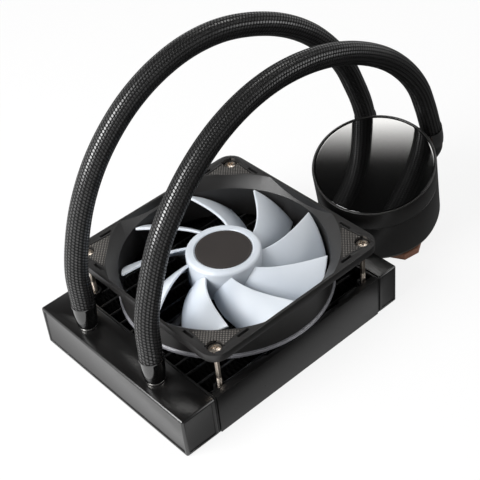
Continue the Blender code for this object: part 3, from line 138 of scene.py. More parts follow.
class Paint:
    """The nodes of one material, or of the surroundings, laid over its first shader."""

    def __init__(self, name: str, world: bool = False) -> None:
        """Start the material.

        Args:
            name: The material's name.
            world: True where it is the scene's surroundings and not a surface.
        """
        self.material = (bpy.data.worlds if world else bpy.data.materials).new(name)
        self.material.use_nodes = True
        self.tree = self.material.node_tree
        self.shader = next(n for n in self.tree.nodes
                           if n.type in ("BSDF_PRINCIPLED", "BACKGROUND"))
        self.out = next(n for n in self.tree.nodes if n.type.startswith("OUTPUT"))

    def node(self, kind: str, settings: dict | None = None, inputs: dict | None = None,
             output: Union[int, str] = 0) -> Signal:
        """Add a node.

        Args:
            kind: The node's type.
            settings: Its settings, set first.
            inputs: The values or signals of its sockets, by name or number.
            output: The output socket to return, by name or number.

        Returns:
            The chosen output.
        """
        made = self.tree.nodes.new(kind)
        for key, value in (settings or {}).items():
            setattr(made, key, value)
        for key, value in (inputs or {}).items():
            self.feed(made.inputs[key], value)
        return Signal(self, made.outputs[output])

    def feed(self, socket: bpy.types.NodeSocket, value: object) -> None:
        """Link a signal to a socket, or set the socket's value."""
        if isinstance(value, Signal):
            self.tree.links.new(value.socket, socket)
        elif isinstance(value, tuple) and socket.type == "RGBA":
            socket.default_value = (*value[:3], 1.0)
        else:
            socket.default_value = value

    def surface(self, **values: object) -> None:
        """Set the first shader's sockets; an underscore in a name stands for a space."""
        for key, value in values.items():
            self.feed(self.shader.inputs[key.replace("_", " ")], value)

    def shown(self) -> tuple[Signal, Signal]:
        """Return 1 for camera rays, and 1 for the rays that mirrors and glass send out."""
        outputs = self.node("ShaderNodeLightPath").socket.node.outputs
        camera, glossy, clear = (Signal(self, outputs[f"Is {kind} Ray"])
                                 for kind in ("Camera", "Glossy", "Transmission"))
        return camera, self.maths("MAXIMUM", glossy, clear)

    def finish(self, *layers: tuple[Signal, Signal]) -> None:
        """Lay shaders over the first one, each by its own share, and show the result."""
        surface = Signal(self, self.shader.outputs[0])
        for share, layer in layers:
            surface = self.node("ShaderNodeMixShader", None, {0: share, 1: surface, 2: layer})
        self.feed(self.out.inputs["Surface"], surface)

    def maths(self, operation: str, *values: Value) -> Signal:
        """Add a Math node on the values."""
        return self.node("ShaderNodeMath", {"operation": operation}, dict(enumerate(values)))

    def place(self) -> Signal:
        """Return the piece's own coordinates."""
        return self.node("ShaderNodeTexCoord", output="Object")

    def parts(self, vector: Signal) -> tuple[Signal, Signal, Signal]:
        """Split a vector into its three numbers."""
        split = self.node("ShaderNodeSeparateXYZ", None, {0: vector})
        outputs = split.socket.node.outputs
        return Signal(self, outputs[0]), Signal(self, outputs[1]), Signal(self, outputs[2])

    def reach(self, x: Signal, y: Signal, centre: Vector) -> Signal:
        """Return how far a place is from an upright axis through centre."""
        across, along = x - centre.x, y - centre.y
        return self.maths("SQRT", across * across + along * along)

    def noise(self, grain: float, detail: float = 2.0, vector: Signal | None = None) -> Signal:
        """Add noise whose cells are about as long as grain, in millimetres."""
        inputs = {"Vector": vector or self.place(), "Scale": 1.0 / (grain * MM), "Detail": detail}
        return self.node("ShaderNodeTexNoise", None, inputs)

    def blend(self, share: Value, first: object, second: object) -> Signal:
        """Mix two colours by a share from 0 to 1."""
        inputs = {0: share, 6: first, 7: second}
        return self.node("ShaderNodeMix", {"data_type": "RGBA"}, inputs, 2)

    def bump(self, height: Signal, depth: float) -> Signal:
        """Raise the surface by a height from 0 to 1 times a depth in millimetres."""
        inputs = {"Strength": 1.0, "Distance": depth * MM, "Height": height}
        return self.node("ShaderNodeBump", None, inputs)


@dataclass(frozen=True)
class Finish:
    """A surface with grain: moulded plastic, sprayed paint, rubber or cast metal."""

    name: str
    slot: str
    colour: Colour
    roughness: float
    metallic: float = 0.0
    specular: float = 0.5
    coat: float = 0.0
    grain: float = 0.5
    depth: float = 0.02
    patch: float = 9.0
    mottle: float = 0.25
    gloss_change: float = 0.12

    def material(self) -> bpy.types.Material:
        """Return the material, made on first use."""
        known = bpy.data.materials.get(self.name)
        return known or self.paint().material

    def tint(self, share: float) -> Colour:
        """Return the colour times a share, with no channel above 1."""
        return tuple(min(1.0, channel * share) for channel in self.colour)

    def paint(self) -> Paint:
        """Make the material's nodes."""
        paint = Paint(self.name)
        self.base(paint)
        paint.surface(Normal=paint.bump(paint.noise(self.grain, 3.0), self.depth))
        return paint

    def base(self, paint: Paint) -> None:
        """Give the shader its constant values and the slow changes of colour and gloss."""
        paint.surface(Metallic=self.metallic, Specular_IOR_Level=self.specular,
                      Coat_Weight=self.coat, Coat_Roughness=0.08)
        cloud = paint.noise(self.patch, 3.0)
        fine = paint.noise(self.grain * 2.0)
        dark, light = self.tint(1.0 - self.mottle), self.tint(1.0 + self.mottle)
        paint.surface(Base_Color=paint.blend(cloud * 0.5 + fine * 0.5, dark, light))
        change = self.gloss_change
        paint.surface(Roughness=self.roughness - change / 2 + (cloud * 0.6 + fine * 0.4) * change)


@dataclass(frozen=True)
class BrushedFinish(Finish):
    """A metal drawn with fine lines along X."""

    line: float = 0.12
    along: float = 0.04

    def paint(self) -> Paint:
        """Make the metal with its drawn lines."""
        paint = Paint(self.name)
        self.base(paint)
        drawn = paint.node("ShaderNodeVectorMath", {"operation": "MULTIPLY"},
                           {0: paint.place(), 1: (self.along, 1.0, 1.0)})
        paint.surface(Normal=paint.bump(paint.noise(self.line, 2.0, drawn), self.depth))
        return paint


@dataclass(frozen=True)
class FrostedFinish(Finish):
    """A milky plastic that lets light through a little, with painted shade by height and by
    radius.
    """

    shade: Colour = (0.50, 0.57, 0.66)
    shade_heights: Span = (5.0, 22.0)
    shade_radii: Span = (16.0, 56.0)
    cloud: float = 14.0

    def paint(self) -> Paint:
        """Make the milky plastic, with painted shade: a deeper, bluer tone low down and near the
        hub.
        """
        paint = Paint(self.name)
        paint.surface(Specular_IOR_Level=self.specular, Subsurface_Weight=0.35,
                      Subsurface_Scale=2.0 * MM, Subsurface_Radius=WHITE)
        x, y, z = paint.parts(paint.place())
        height = z.step(*(FAN_CENTRE.z + edge * MM for edge in self.shade_heights))
        reach = paint.reach(x, y, FAN_CENTRE).step(*(edge * MM for edge in self.shade_radii))
        cloud = paint.noise(self.cloud, 2.0)
        # painted shade: the wheel is painted darker and bluer low down and towards the hub
        share = height * 0.6 + reach * 0.2 + cloud * 0.2
        paint.surface(Base_Color=paint.blend(share, self.shade, self.colour),
                      Roughness=self.roughness - 0.05 + cloud * 0.1,
                      Normal=paint.bump(paint.noise(self.grain, 2.0), self.depth))
        return paint


@dataclass(frozen=True)
class DimpledFinish(Finish):
    """Rubber moulded with rows of small pointed diamonds, set pitch apart across the rows."""

    pitch: float = 1.4
    pit_shade_share: float = 0.1
    tip_highlight_share: float = 4.0

    def paint(self) -> Paint:
        """Make the rubber; painted shade darkens the pits and a painted highlight lightens the
        diamonds' tips.
        """
        paint = Paint(self.name)
        self.base(paint)
        x, y, _ = paint.parts(paint.place())
        rows = math.sqrt(0.5) / (self.pitch * MM)
        tip = ((x + y) * rows).wave().size() * ((x - y) * rows).wave().size()
        # painted shade in the pits and painted highlight on the tips, by the diamonds' height
        pit = paint.blend(tip, self.tint(self.pit_shade_share), self.tint(self.tip_highlight_share))
        paint.surface(Base_Color=pit, Roughness=0.70 - tip * 0.25,
                      Normal=paint.bump(tip, self.depth))
        return paint


@dataclass(frozen=True)
class BraidFinish(Finish):
    """Nylon yarn braided round a hose, read from the hose's own map of turn and length."""

    columns: int = 20
    stitch: float = 1.7
    lean: float = 0.35
    fullness: float = 0.55
    gap_shade_share: float = 0.05
    yarn_shares: Span = (0.3, 1.8)

    def paint(self) -> Paint:
        """Make the braid: columns of small shiny yarn beads, each column half a bead on, with
        painted shade in the gaps between them.
        """
        paint = Paint(self.name)
        paint.surface(Specular_IOR_Level=self.specular, Coat_Roughness=0.30, Coat_IOR=1.8)
        turn, along, _ = paint.parts(paint.node("ShaderNodeUVMap", {"uv_map": "wrap"}))
        around = turn * self.columns
        column = around.floor()
        across = around - column
        length = along * (1.0 / (self.stitch * MM)) + column * 0.5 + across * self.lean
        bead = paint.maths("POWER", across.wave() * (length % 1.0).wave(), self.fullness)
        strand = (length * 4.0).wave().size()
        height = bead * (strand * 0.12 + 0.88)
        sheen = paint.noise(self.patch, 3.0)
        light = paint.blend(sheen, *(self.tint(share) for share in self.yarn_shares))
        # painted shade: the gaps between the beads are painted near black
        paint.surface(Base_Color=paint.blend(height, self.tint(self.gap_shade_share), light),
                      Coat_Weight=height.step(0.45, 0.85) * (sheen * 0.7 + 0.5),
                      Roughness=self.roughness + 0.30 - height * 0.30 + sheen * 0.12,
                      Normal=paint.bump(height, self.depth))
        return paint


@dataclass(frozen=True)
class LabelFinish(Finish):
    """A printed film disc: plain dark ground with a thin paler ring near its edge."""

    ring: float = 14.6
    ring_edge: Span = (0.05, 0.18)
    ring_colour: Colour = (0.12, 0.11, 0.10)
    ring_share: float = 0.35

    def paint(self) -> Paint:
        """Make the film with its printed ring."""
        paint = Paint(self.name)
        self.base(paint)
        x, y, _ = paint.parts(paint.place())
        away = (paint.reach(x, y, FAN_CENTRE) - self.ring * MM).size()
        line = 1.0 - away.step(*(edge * MM for edge in self.ring_edge))
        ground = paint.blend(paint.noise(6.0), self.tint(0.85), self.colour)
        paint.surface(Base_Color=paint.blend(line * self.ring_share, ground, self.ring_colour),
                      Normal=paint.bump(paint.noise(self.grain), self.depth))
        return paint


class Finishes(Enum):
    """Every finish of the cooler."""

    TANK_PAINT = Finish("tank paint", "radiator_paint", (0.004, 0.0038, 0.0038), 0.30,
                        specular=0.9, grain=0.35, depth=0.012, mottle=0.2)
    CORE_PAINT = Finish("core paint", "core_paint", (0.004, 0.004, 0.0042), 0.42, grain=0.3)
    FIN_SHEET = Finish("fin sheet", "core_paint", (0.006, 0.006, 0.006), 0.4, grain=0.8,
                       mottle=0.4)
    FRAME_PLASTIC = Finish("frame plastic", "fan_plastic", (0.013, 0.0123, 0.0122), 0.42,
                           specular=0.6, grain=0.25, depth=0.02)
    # painted highlight: the foot ring is a paler copy of the frame plastic, standing in for the
    # light it catches
    RING_PAINTED_HIGHLIGHT = Finish("foot ring painted highlight", "fan_plastic", (0.22, 0.22, 0.24), 0.3,
                          specular=0.7, grain=1.2, depth=0.01)
    ROTOR_PLASTIC = FrostedFinish("rotor plastic", "rotor_plastic", (0.79, 0.83, 0.88), 0.32,
                                  grain=2.5, depth=0.02)
    LABEL_FILM = LabelFinish("label film", "label_film", (0.032, 0.026, 0.024), 0.45,
                             grain=0.2, depth=0.005)
    PAD_RUBBER = DimpledFinish("pad rubber", "pad_rubber", (0.036, 0.033, 0.030), 0.6, depth=0.4)
    SCREW_NICKEL = Finish("screw nickel", "screw_nickel", (0.80, 0.70, 0.60), 0.3, metallic=1.0,
                          grain=0.6, depth=0.004, mottle=0.12)
    STEEL = BrushedFinish("turned steel", "steel", (0.60, 0.59, 0.57), 0.28, metallic=1.0,
                          depth=0.004, mottle=0.15)
    BRONZE = BrushedFinish("sintered bronze", "bearing_bronze", (0.55, 0.38, 0.20), 0.4,
                           metallic=1.0, depth=0.01)
    MOTOR_CORE = BrushedFinish("stacked core", "motor_core", (0.40, 0.24, 0.14), 0.45,
                               metallic=0.8, depth=0.02)
    MAGNET = Finish("magnet", "magnet_iron", (0.08, 0.08, 0.08), 0.55, metallic=0.5)
    BOARD = Finish("board lacquer", "circuit_board", (0.015, 0.09, 0.04), 0.35, grain=1.5)
    BRAID = BraidFinish("braid", "hose_braid", (0.006, 0.0058, 0.006), 0.25, specular=0.25,
                        depth=0.4)
    SLEEVE = Finish("shrunk sleeve", "sleeve_gloss", (0.003, 0.003, 0.003), 0.14, specular=0.9,
                    coat=0.4, grain=3.0, depth=0.05, gloss_change=0.06)
    PUMP_SATIN = Finish("pump satin", "pump_satin", (0.007, 0.0066, 0.0064), 0.30, specular=0.7,
                        grain=0.3, depth=0.012)
    LENS = Finish("lens", "lens_gloss", (0.002, 0.002, 0.002), 0.03, specular=1.0, coat=1.0,
                  grain=30.0, depth=0.001, mottle=0.1, gloss_change=0.01)
    IMPELLER = Finish("impeller plastic", "impeller_plastic", (0.42, 0.42, 0.41), 0.45)
    GASKET = Finish("gasket rubber", "gasket_rubber", (0.015, 0.015, 0.015), 0.7)
    PLATE_STEEL = BrushedFinish("plate steel", "plate_steel", (0.34, 0.33, 0.31), 0.32,
                                metallic=1.0, depth=0.008)
    COPPER = BrushedFinish("ground copper", "plate_copper", (0.62, 0.31, 0.21), 0.36,
                           metallic=0.7, depth=0.006, mottle=0.18)


def pump_place() -> Matrix:
    """Return the pump head's place: its Z is the impeller's axis, its X faces the hoses."""
    side = PUMP_AXIS.cross(PUMP_FRONT).normalized()
    turn = Matrix((PUMP_FRONT, side, PUMP_AXIS)).transposed()
    return Matrix.Translation(PUMP_FOOT) @ turn.to_4x4()


def aimed(place: Vector, direction: Vector) -> Matrix:
    """Return the matrix that moves the origin to a place and turns Z to a direction."""
    return Matrix.Translation(place) @ UP.rotation_difference(direction).to_matrix().to_4x4()


def series(terms: Sequence[float], share: float) -> float:
    """Return a power series: a start, a slope and so on, at a share from 0 to 1."""
    return sum(term * share ** power for power, term in enumerate(terms))


def shade(mesh: Mesh, angle: float) -> None:
    """Smooth every face and mark the edges that are sharper than angle, in degrees."""
    for face in mesh.faces:
        face.smooth = True
    limit = math.radians(angle)
    for edge in mesh.edges:
        edge.smooth = len(edge.link_faces) == 2 and edge.calc_face_angle(math.pi) < limit


def stored(mesh: Mesh, name: str) -> bpy.types.Mesh:
    """Turn a bmesh into mesh data, and free it."""
    data = bpy.data.meshes.new(name)
    mesh.to_mesh(data)
    mesh.free()
    return data


def linked(name: str, data: bpy.types.ID) -> bpy.types.Object:
    """Add an object with that data to the scene."""
    made = bpy.data.objects.new(name, data)
    bpy.context.scene.collection.objects.link(made)
    return made


def piece(mesh: Mesh, name: str, finish: Finishes, node: str = "", angle: float = 35.0,
          body: Body = Body.BASE) -> bpy.types.Object:
    """Turn a bmesh into a dressed piece that rides on a body.

    Args:
        mesh: The piece's mesh, in place; it is freed.
        name: The piece's name.
        finish: Its finish.
        node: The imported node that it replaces, if any.
        angle: The angle in degrees past which an edge stays sharp.
        body: The body that it rides on.

    Returns:
        The piece's object, at the origin.
    """
    shade(mesh, angle)
    data = stored(mesh, name)
    data.materials.append(finish.value.material())
    made = linked(name, data)
    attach(made, body.value)
    if node:
        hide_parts(node)
    LOG.info("%s: %d faces", name, len(data.polygons))
    return made


def lathe(profile: Profile, steps: int, place: Matrix, mesh: Mesh | None = None) -> Mesh:
    """Spin a closed outline of (radius, height) points, in millimetres, about Z.

    Args:
        profile: The outline's points; the ones on the axis close the shape's poles.
        steps: The number of steps of the full turn.
        place: Where the turned shape goes.
        mesh: The bmesh that it joins.

    Returns:
        The bmesh.
    """
    turned = bmesh.new()
    verts = [turned.verts.new((radius * MM, 0.0, height * MM)) for radius, height in profile]
    edges = []
    for first, second in zip(verts, verts[1:] + verts[:1]):
        if max(first.co.x, second.co.x) > ON_AXIS:
            edges.append(turned.edges.new((first, second)))
    bmesh.ops.spin(turned, geom=verts + edges, axis=(0, 0, 1), cent=(0, 0, 0),
                   angle=math.tau, steps=steps, use_merge=True)
    bmesh.ops.remove_doubles(turned, verts=turned.verts, dist=1e-6)
    bmesh.ops.recalc_face_normals(turned, faces=turned.faces)
    turned.transform(place)
    return absorb(mesh, turned)


def absorb(mesh: Mesh | None, added: Mesh) -> Mesh:
    """Add one bmesh to another, or return it as it is where there is none yet."""
    if mesh is None:
        return added
    data = stored(added, "added")
    mesh.from_mesh(data)
    bpy.data.meshes.remove(data)
    return mesh


def rounded(points: Profile, radius: float, chord: float = 0.35) -> list[Span]:
    """Round the corners of a closed outline that aren't on the axis; all in millimetres.

    Args:
        points: The outline's corners; a corner's third number is a rounding of its own.
        radius: The rounding of the other corners.
        chord: About how long each step of a large rounding is.

    Returns:
        The rounded outline.
    """
    out: list[Span] = []
    count = len(points)
    for index, (x, height, *own) in enumerate(points):
        here = Vector((x, height))
        before = Vector(points[index - 1][:2]) - here
        after = Vector(points[(index + 1) % count][:2]) - here
        reach = min(own[0] if own else radius, before.length * 0.45, after.length * 0.45)
        if x * MM < ON_AXIS or reach < 0.001:
            out.append((x, height))
            continue
        steps = max(3, round(reach / chord))
        start, end = here + before.normalized() * reach, here + after.normalized() * reach
        for step in range(steps + 1):
            t = step / steps
            place = start * (1 - t) ** 2 + here * 2 * t * (1 - t) + end * t * t
            out.append((place.x, place.y))
    return out


def softened(node: str, finish: Finishes, width: float, cutter: Mesh | None = None) -> None:
    """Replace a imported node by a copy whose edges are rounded, so that they catch the light.

    Args:
        node: The node's name; it is one of the base body's.
        finish: Its finish.
        width: The rounding's width, in millimetres.
        cutter: A shape to cut out of the copy first.
    """
    mesh = bmesh.new()
    mesh.from_mesh(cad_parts[node].data)
    bmesh.ops.remove_doubles(mesh, verts=mesh.verts, dist=2e-6)
    if cutter is not None:
        mesh = carved(mesh, cutter)
    bmesh.ops.dissolve_limit(mesh, angle_limit=math.radians(0.4), verts=mesh.verts,
                             edges=mesh.edges)
    sharp = [edge for edge in mesh.edges
             if len(edge.link_faces) == 2 and edge.calc_face_angle(0.0) > math.radians(32)]
    bmesh.ops.bevel(mesh, geom=sharp, offset=width * MM, offset_type="OFFSET", segments=2,
                    profile=0.5, affect="EDGES", clamp_overlap=True, material=-1)
    bmesh.ops.remove_doubles(mesh, verts=mesh.verts, dist=2e-6)
    bmesh.ops.dissolve_degenerate(mesh, dist=1e-6, edges=mesh.edges)
    piece(mesh, f"{node}_soft", finish, node, 40.0)


def carved(mesh: Mesh, cutter: Mesh) -> Mesh:
    """Cut one shape out of another and return the result."""
    target = linked("target", stored(mesh, "target"))
    tool = linked("cutter", stored(cutter, "cutter"))
    modifier = target.modifiers.new("cut", "BOOLEAN")
    modifier.operation, modifier.solver, modifier.object = "DIFFERENCE", "EXACT", tool
    modifier.use_self = True
    graph = bpy.context.evaluated_depsgraph_get()
    result = bpy.data.meshes.new_from_object(target.evaluated_get(graph))
    out = bmesh.new()
    out.from_mesh(result)
    for made in (target, tool):
        data = made.data
        bpy.data.objects.remove(made)
        bpy.data.meshes.remove(data)
    bpy.data.meshes.remove(result)
    return out


def block(size: Sequence[float], place: Matrix, mesh: Mesh | None = None,
          edge: float = 0.0) -> Mesh:
    """Make a box of that size in millimetres, its edges bevelled where edge isn't 0."""
    box = bmesh.new()
    bmesh.ops.create_cube(box, size=1.0)
    lengths = Vector([length * MM for length in size])
    bmesh.ops.scale(box, vec=lengths, verts=box.verts)
    if edge:
        bmesh.ops.bevel(box, geom=box.edges[:], offset=edge * MM, segments=2, profile=0.5,
                        affect="EDGES", material=-1)
    box.transform(place)
    return absorb(mesh, box)


def cross(size: Sequence[float], place: Matrix, turn: float) -> Mesh:
    """Make the cutter of a cross recess: two blocks, the first turned by turn degrees."""
    mesh: Mesh | None = None
    for angle in (turn, turn + 90.0):
        mesh = block(size, place @ Matrix.Rotation(math.radians(angle), 4, "Z"), mesh)
    return mesh


def smooth_line(points: Sequence[Vector], count: int, parts: int = 24) -> list[Vector]:
    """Read evenly spaced points from a smooth curve through the given ones.

    Args:
        points: The points that the curve runs through.
        count: How many points to read.
        parts: How finely each stretch between two given points is drawn first.

    Returns:
        The evenly spaced points.
    """
    ends = [2 * points[0] - points[1], *points, 2 * points[-1] - points[-2]]
    fine: list[Vector] = []
    for index in range(1, len(ends) - 2):
        a, b, c, d = ends[index - 1:index + 3]
        for part in range(parts):
            t = part / parts
            fine.append(0.5 * (2 * b + (c - a) * t + (2 * a - 5 * b + 4 * c - d) * t * t
                               + (3 * b - a - 3 * c + d) * t ** 3))
    fine.append(points[-1])
    lengths = [0.0]
    for before, after in zip(fine, fine[1:]):
        lengths.append(lengths[-1] + (after - before).length)
    even, place = [], 0
    for index in range(count):
        wanted = lengths[-1] * index / (count - 1)
        while place < len(fine) - 2 and lengths[place + 1] < wanted:
            place += 1
        span = max(lengths[place + 1] - lengths[place], 1e-9)
        even.append(fine[place].lerp(fine[place + 1], min(1.0, (wanted - lengths[place]) / span)))
    return even


def tube(path: Sequence[Vector], radius: Callable[[float], float], sides: int) -> Mesh:
    """Make a closed-ended tube along a path, with a map of its turn and its length in metres.

    Args:
        path: The points that it follows.
        radius: Its radius in metres as a function of the share of the path, from 0 to 1.
        sides: The number of its sides.

    Returns:
        The tube.
    """
    mesh = bmesh.new()
    rows = len(path) - 1
    bmesh.ops.create_grid(mesh, x_segments=sides, y_segments=rows, size=0.5)
    along = [(b - a).normalized() for a, b in zip(path, path[1:])]
    along.append(along[-1])
    across = along[0].orthogonal().normalized()
    frames, lengths = [], [0.0]
    for index, direction in enumerate(along):
        tangent = (along[max(index - 1, 0)] + direction).normalized()
        across = (across - tangent * across.dot(tangent)).normalized()
        frames.append((across.copy(), tangent.cross(across)))
        if index:
            lengths.append(lengths[-1] + (path[index] - path[index - 1]).length)
    wrap = mesh.loops.layers.uv.new("wrap")
    for face in mesh.faces:
        for loop in face.loops:
            row = round((loop.vert.co.y + 0.5) * rows)
            loop[wrap].uv = (loop.vert.co.x + 0.5, lengths[row])
    for vert in mesh.verts:
        row = round((vert.co.y + 0.5) * rows)
        angle = (vert.co.x + 0.5) * math.tau
        first, second = frames[row]
        out = first * math.cos(angle) + second * math.sin(angle)
        vert.co = path[row] + out * radius(row / rows)
    bmesh.ops.remove_doubles(mesh, verts=mesh.verts, dist=1e-6)
    bmesh.ops.holes_fill(mesh, edges=mesh.edges, sides=0)
    bmesh.ops.recalc_face_normals(mesh, faces=mesh.faces)
    return mesh


def dress(node: str, finish: Finishes) -> None:
    """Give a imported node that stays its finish."""
    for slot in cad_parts[node].material_slots:
        slot.material = finish.value.material()


@dataclass
class Hoses:
    """The two braided hoses and the shrunk sleeves at their ends."""

    radius: float = 6.2
    sleeve_length: float = 15.1
    tuck: float = 0.6
    straight: float = 2.5
    rings: int = 260
    sides: int = 48

    ROUTES = {
        "left": [
            (9.65, 89.2, 42.6), (11.0, 91.0, 62.0), (15.9, 91.7, 81.0), (23.2, 92.0, 99.2),
            (33.2, 91.9, 116.1), (45.7, 91.1, 131.2), (60.5, 89.8, 144.0), (77.3, 87.9, 153.6),
            (95.8, 85.4, 159.5), (115.0, 82.3, 160.8), (133.8, 78.6, 157.3), (151.6, 75.2, 149.8),
            (167.2, 72.4, 138.6), (180.3, 70.7, 124.1), (191.2, 70.8, 107.7), (200.3, 72.8, 90.4),
            (209.2, 76.2, 73.3), (217.2, 80.6, 56.5),
        ],
        "right": [
            (9.65, 32.2, 42.6), (12.5, 34.9, 62.6), (19.7, 36.7, 81.8), (29.5, 38.6, 99.8),
            (42.6, 39.9, 115.7), (58.1, 41.2, 129.0), (75.7, 42.2, 139.5), (95.0, 42.7, 146.5),
            (115.2, 42.6, 149.7), (135.7, 41.9, 148.9), (155.6, 41.1, 144.2), (174.3, 40.3, 135.9),
            (191.3, 39.8, 124.5), (205.9, 39.9, 110.1), (217.7, 40.7, 93.4), (226.5, 42.4, 74.9),
            (233.9, 44.1, 55.9),
        ],
    }

    def route(self, side: str) -> list[Vector]:
        """Return a hose's own points in metres."""
        return [CORNER + Vector(point) * MM for point in self.ROUTES[side]]

    def rise(self, side: str) -> Vector:
        """Return the direction in which the pump's sleeve opens."""
        points = self.route(side)
        return (points[-2] - points[-1]).normalized()

    def build(self) -> None:
        """Make the hoses and their sleeves, and log each hose's length."""
        radius, tuck, straight = self.radius * MM, self.tuck * MM, self.straight * MM
        for side in self.ROUTES:
            points = self.route(side)
            out = self.rise(side)
            path = [points[0] - UP * tuck, points[0] + UP * straight]
            path += smooth_line(points, self.rings)[4:-4]
            path += [points[-1] + out * straight, points[-1] - out * tuck]
            hose = piece(tube(path, lambda share: radius, self.sides), f"hose_{side}_braid",
                         Finishes.BRAID, f"hose_{side}", 60.0)
            length = sum((b - a).length for a, b in zip(path, path[1:]))
            LOG.info("hose_%s: %.1f mm long", side, length / MM)
            self.sleeve(f"tank_sleeve_{side}", points[0], UP)
            self.sleeve(f"pump_sleeve_{side}", points[-1], out)

    def sleeve(self, node: str, top: Vector, up: Vector) -> None:
        """Make one bullet-shaped sleeve with a rolled lip and a faint step at its foot."""
        foot = -self.sleeve_length
        profile = [
            (4.1, foot), (5.1, foot), (5.35, foot + 0.5), (5.45, foot + 1.6), (5.8, -12.0),
            (6.1, -9.0), (6.32, -6.0), (6.45, -3.0), (6.55, -1.2), (6.6, -0.7), (6.6, -0.3),
            (6.48, 0.0), (6.22, 0.0), (6.2, -0.8), (4.1, -0.8),
        ]
        piece(lathe(profile, 48, aimed(top, up)), f"{node}_skin", Finishes.SLEEVE, node, 50.0)


@dataclass
class Radiator:
    """The painted radiator: two tanks, flat tubes, dense folded fins, side channels, necks."""

    tubes: int = 12
    tube_thickness: float = 1.8
    tube_edge: float = 0.7
    tube_reach: float = 2.7
    folds: int = 84
    fin_sheet: float = 0.14
    height: float = 26.0

    def build(self) -> None:
        """Make the radiator's pieces."""
        softened("hose_tank", Finishes.TANK_PAINT, 0.5)
        softened("return_tank", Finishes.TANK_PAINT, 0.5)
        for side in ("front", "back"):
            softened(f"side_plate_{side}", Finishes.TANK_PAINT, 0.25)
        dress("tank_divider", Finishes.TANK_PAINT)
        for side in ("hose", "return"):
            softened(f"header_sheet_{side}", Finishes.CORE_PAINT, 0.2)
        for number in range(1, self.tubes + 1):
            self.row(f"core_row_{number:02d}")
        self.strip("fin_strip_last", *(Vector(corner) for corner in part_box("fin_strip_last")))
        for side, route in Hoses.ROUTES.items():
            self.neck(side, *route[0][:2])

    def row(self, node: str) -> None:
        """Make one flat water tube with the fin strip that is brazed to it."""
        low, high = (Vector(corner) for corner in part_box(node))
        size = Vector((high.x - low.x, self.tube_thickness * MM, high.z - low.z))
        centre = Vector((low.x, high.y - size.y, low.z)) + size / 2
        flat = block(size / MM, Matrix.Translation(centre), None, self.tube_edge)
        piece(flat, f"{node}_tube", Finishes.CORE_PAINT)
        reach = Vector((self.tube_reach * MM, 0.0, 0.0))
        self.strip(node, low + reach, high - reach - Vector((0.0, size.y, 0.0)))

    def strip(self, node: str, low: Vector, high: Vector) -> None:
        """Fold one fin strip from a thin sheet that zigzags between two tubes.

        Args:
            node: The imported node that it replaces.
            low: The strip's low corner, in metres.
            high: The strip's high corner, in metres.
        """
        sheet = bmesh.new()
        bmesh.ops.create_grid(sheet, x_segments=self.folds, y_segments=1, size=0.5)
        half = (high.y - low.y) / 2 - self.fin_sheet * MM
        middle = (high.y + low.y) / 2
        for vert in sheet.verts:
            index = round((vert.co.x + 0.5) * self.folds)
            height = low.z + (vert.co.y + 0.5) * (high.z - low.z)
            x = low.x + (vert.co.x + 0.5) * (high.x - low.x)
            vert.co = (x, middle + (half if index % 2 else -half), height)
        bmesh.ops.solidify(sheet, geom=sheet.faces[:], thickness=self.fin_sheet * MM)
        bmesh.ops.recalc_face_normals(sheet, faces=sheet.faces)
        piece(sheet, f"{node}_folds", Finishes.FIN_SHEET, node, 20.0)

    def neck(self, side: str, x: float, y: float) -> None:
        """Make one turned neck: a stem in the tank's top with a rounded collar."""
        seat = self.height
        outline = rounded([
            (2.8, seat - 4.0), (3.8, seat - 4.0), (3.8, seat), (4.9, seat), (4.9, seat + 1.2),
            (3.8, seat + 1.2), (3.8, seat + 15.0), (2.8, seat + 15.0),
        ], 0.3)
        place = Matrix.Translation(CORNER + Vector((x, y, 0.0)) * MM)
        node = f"hose_neck_{side}"
        piece(lathe(outline, 40, place), f"{node}_turned", Finishes.STEEL, node)


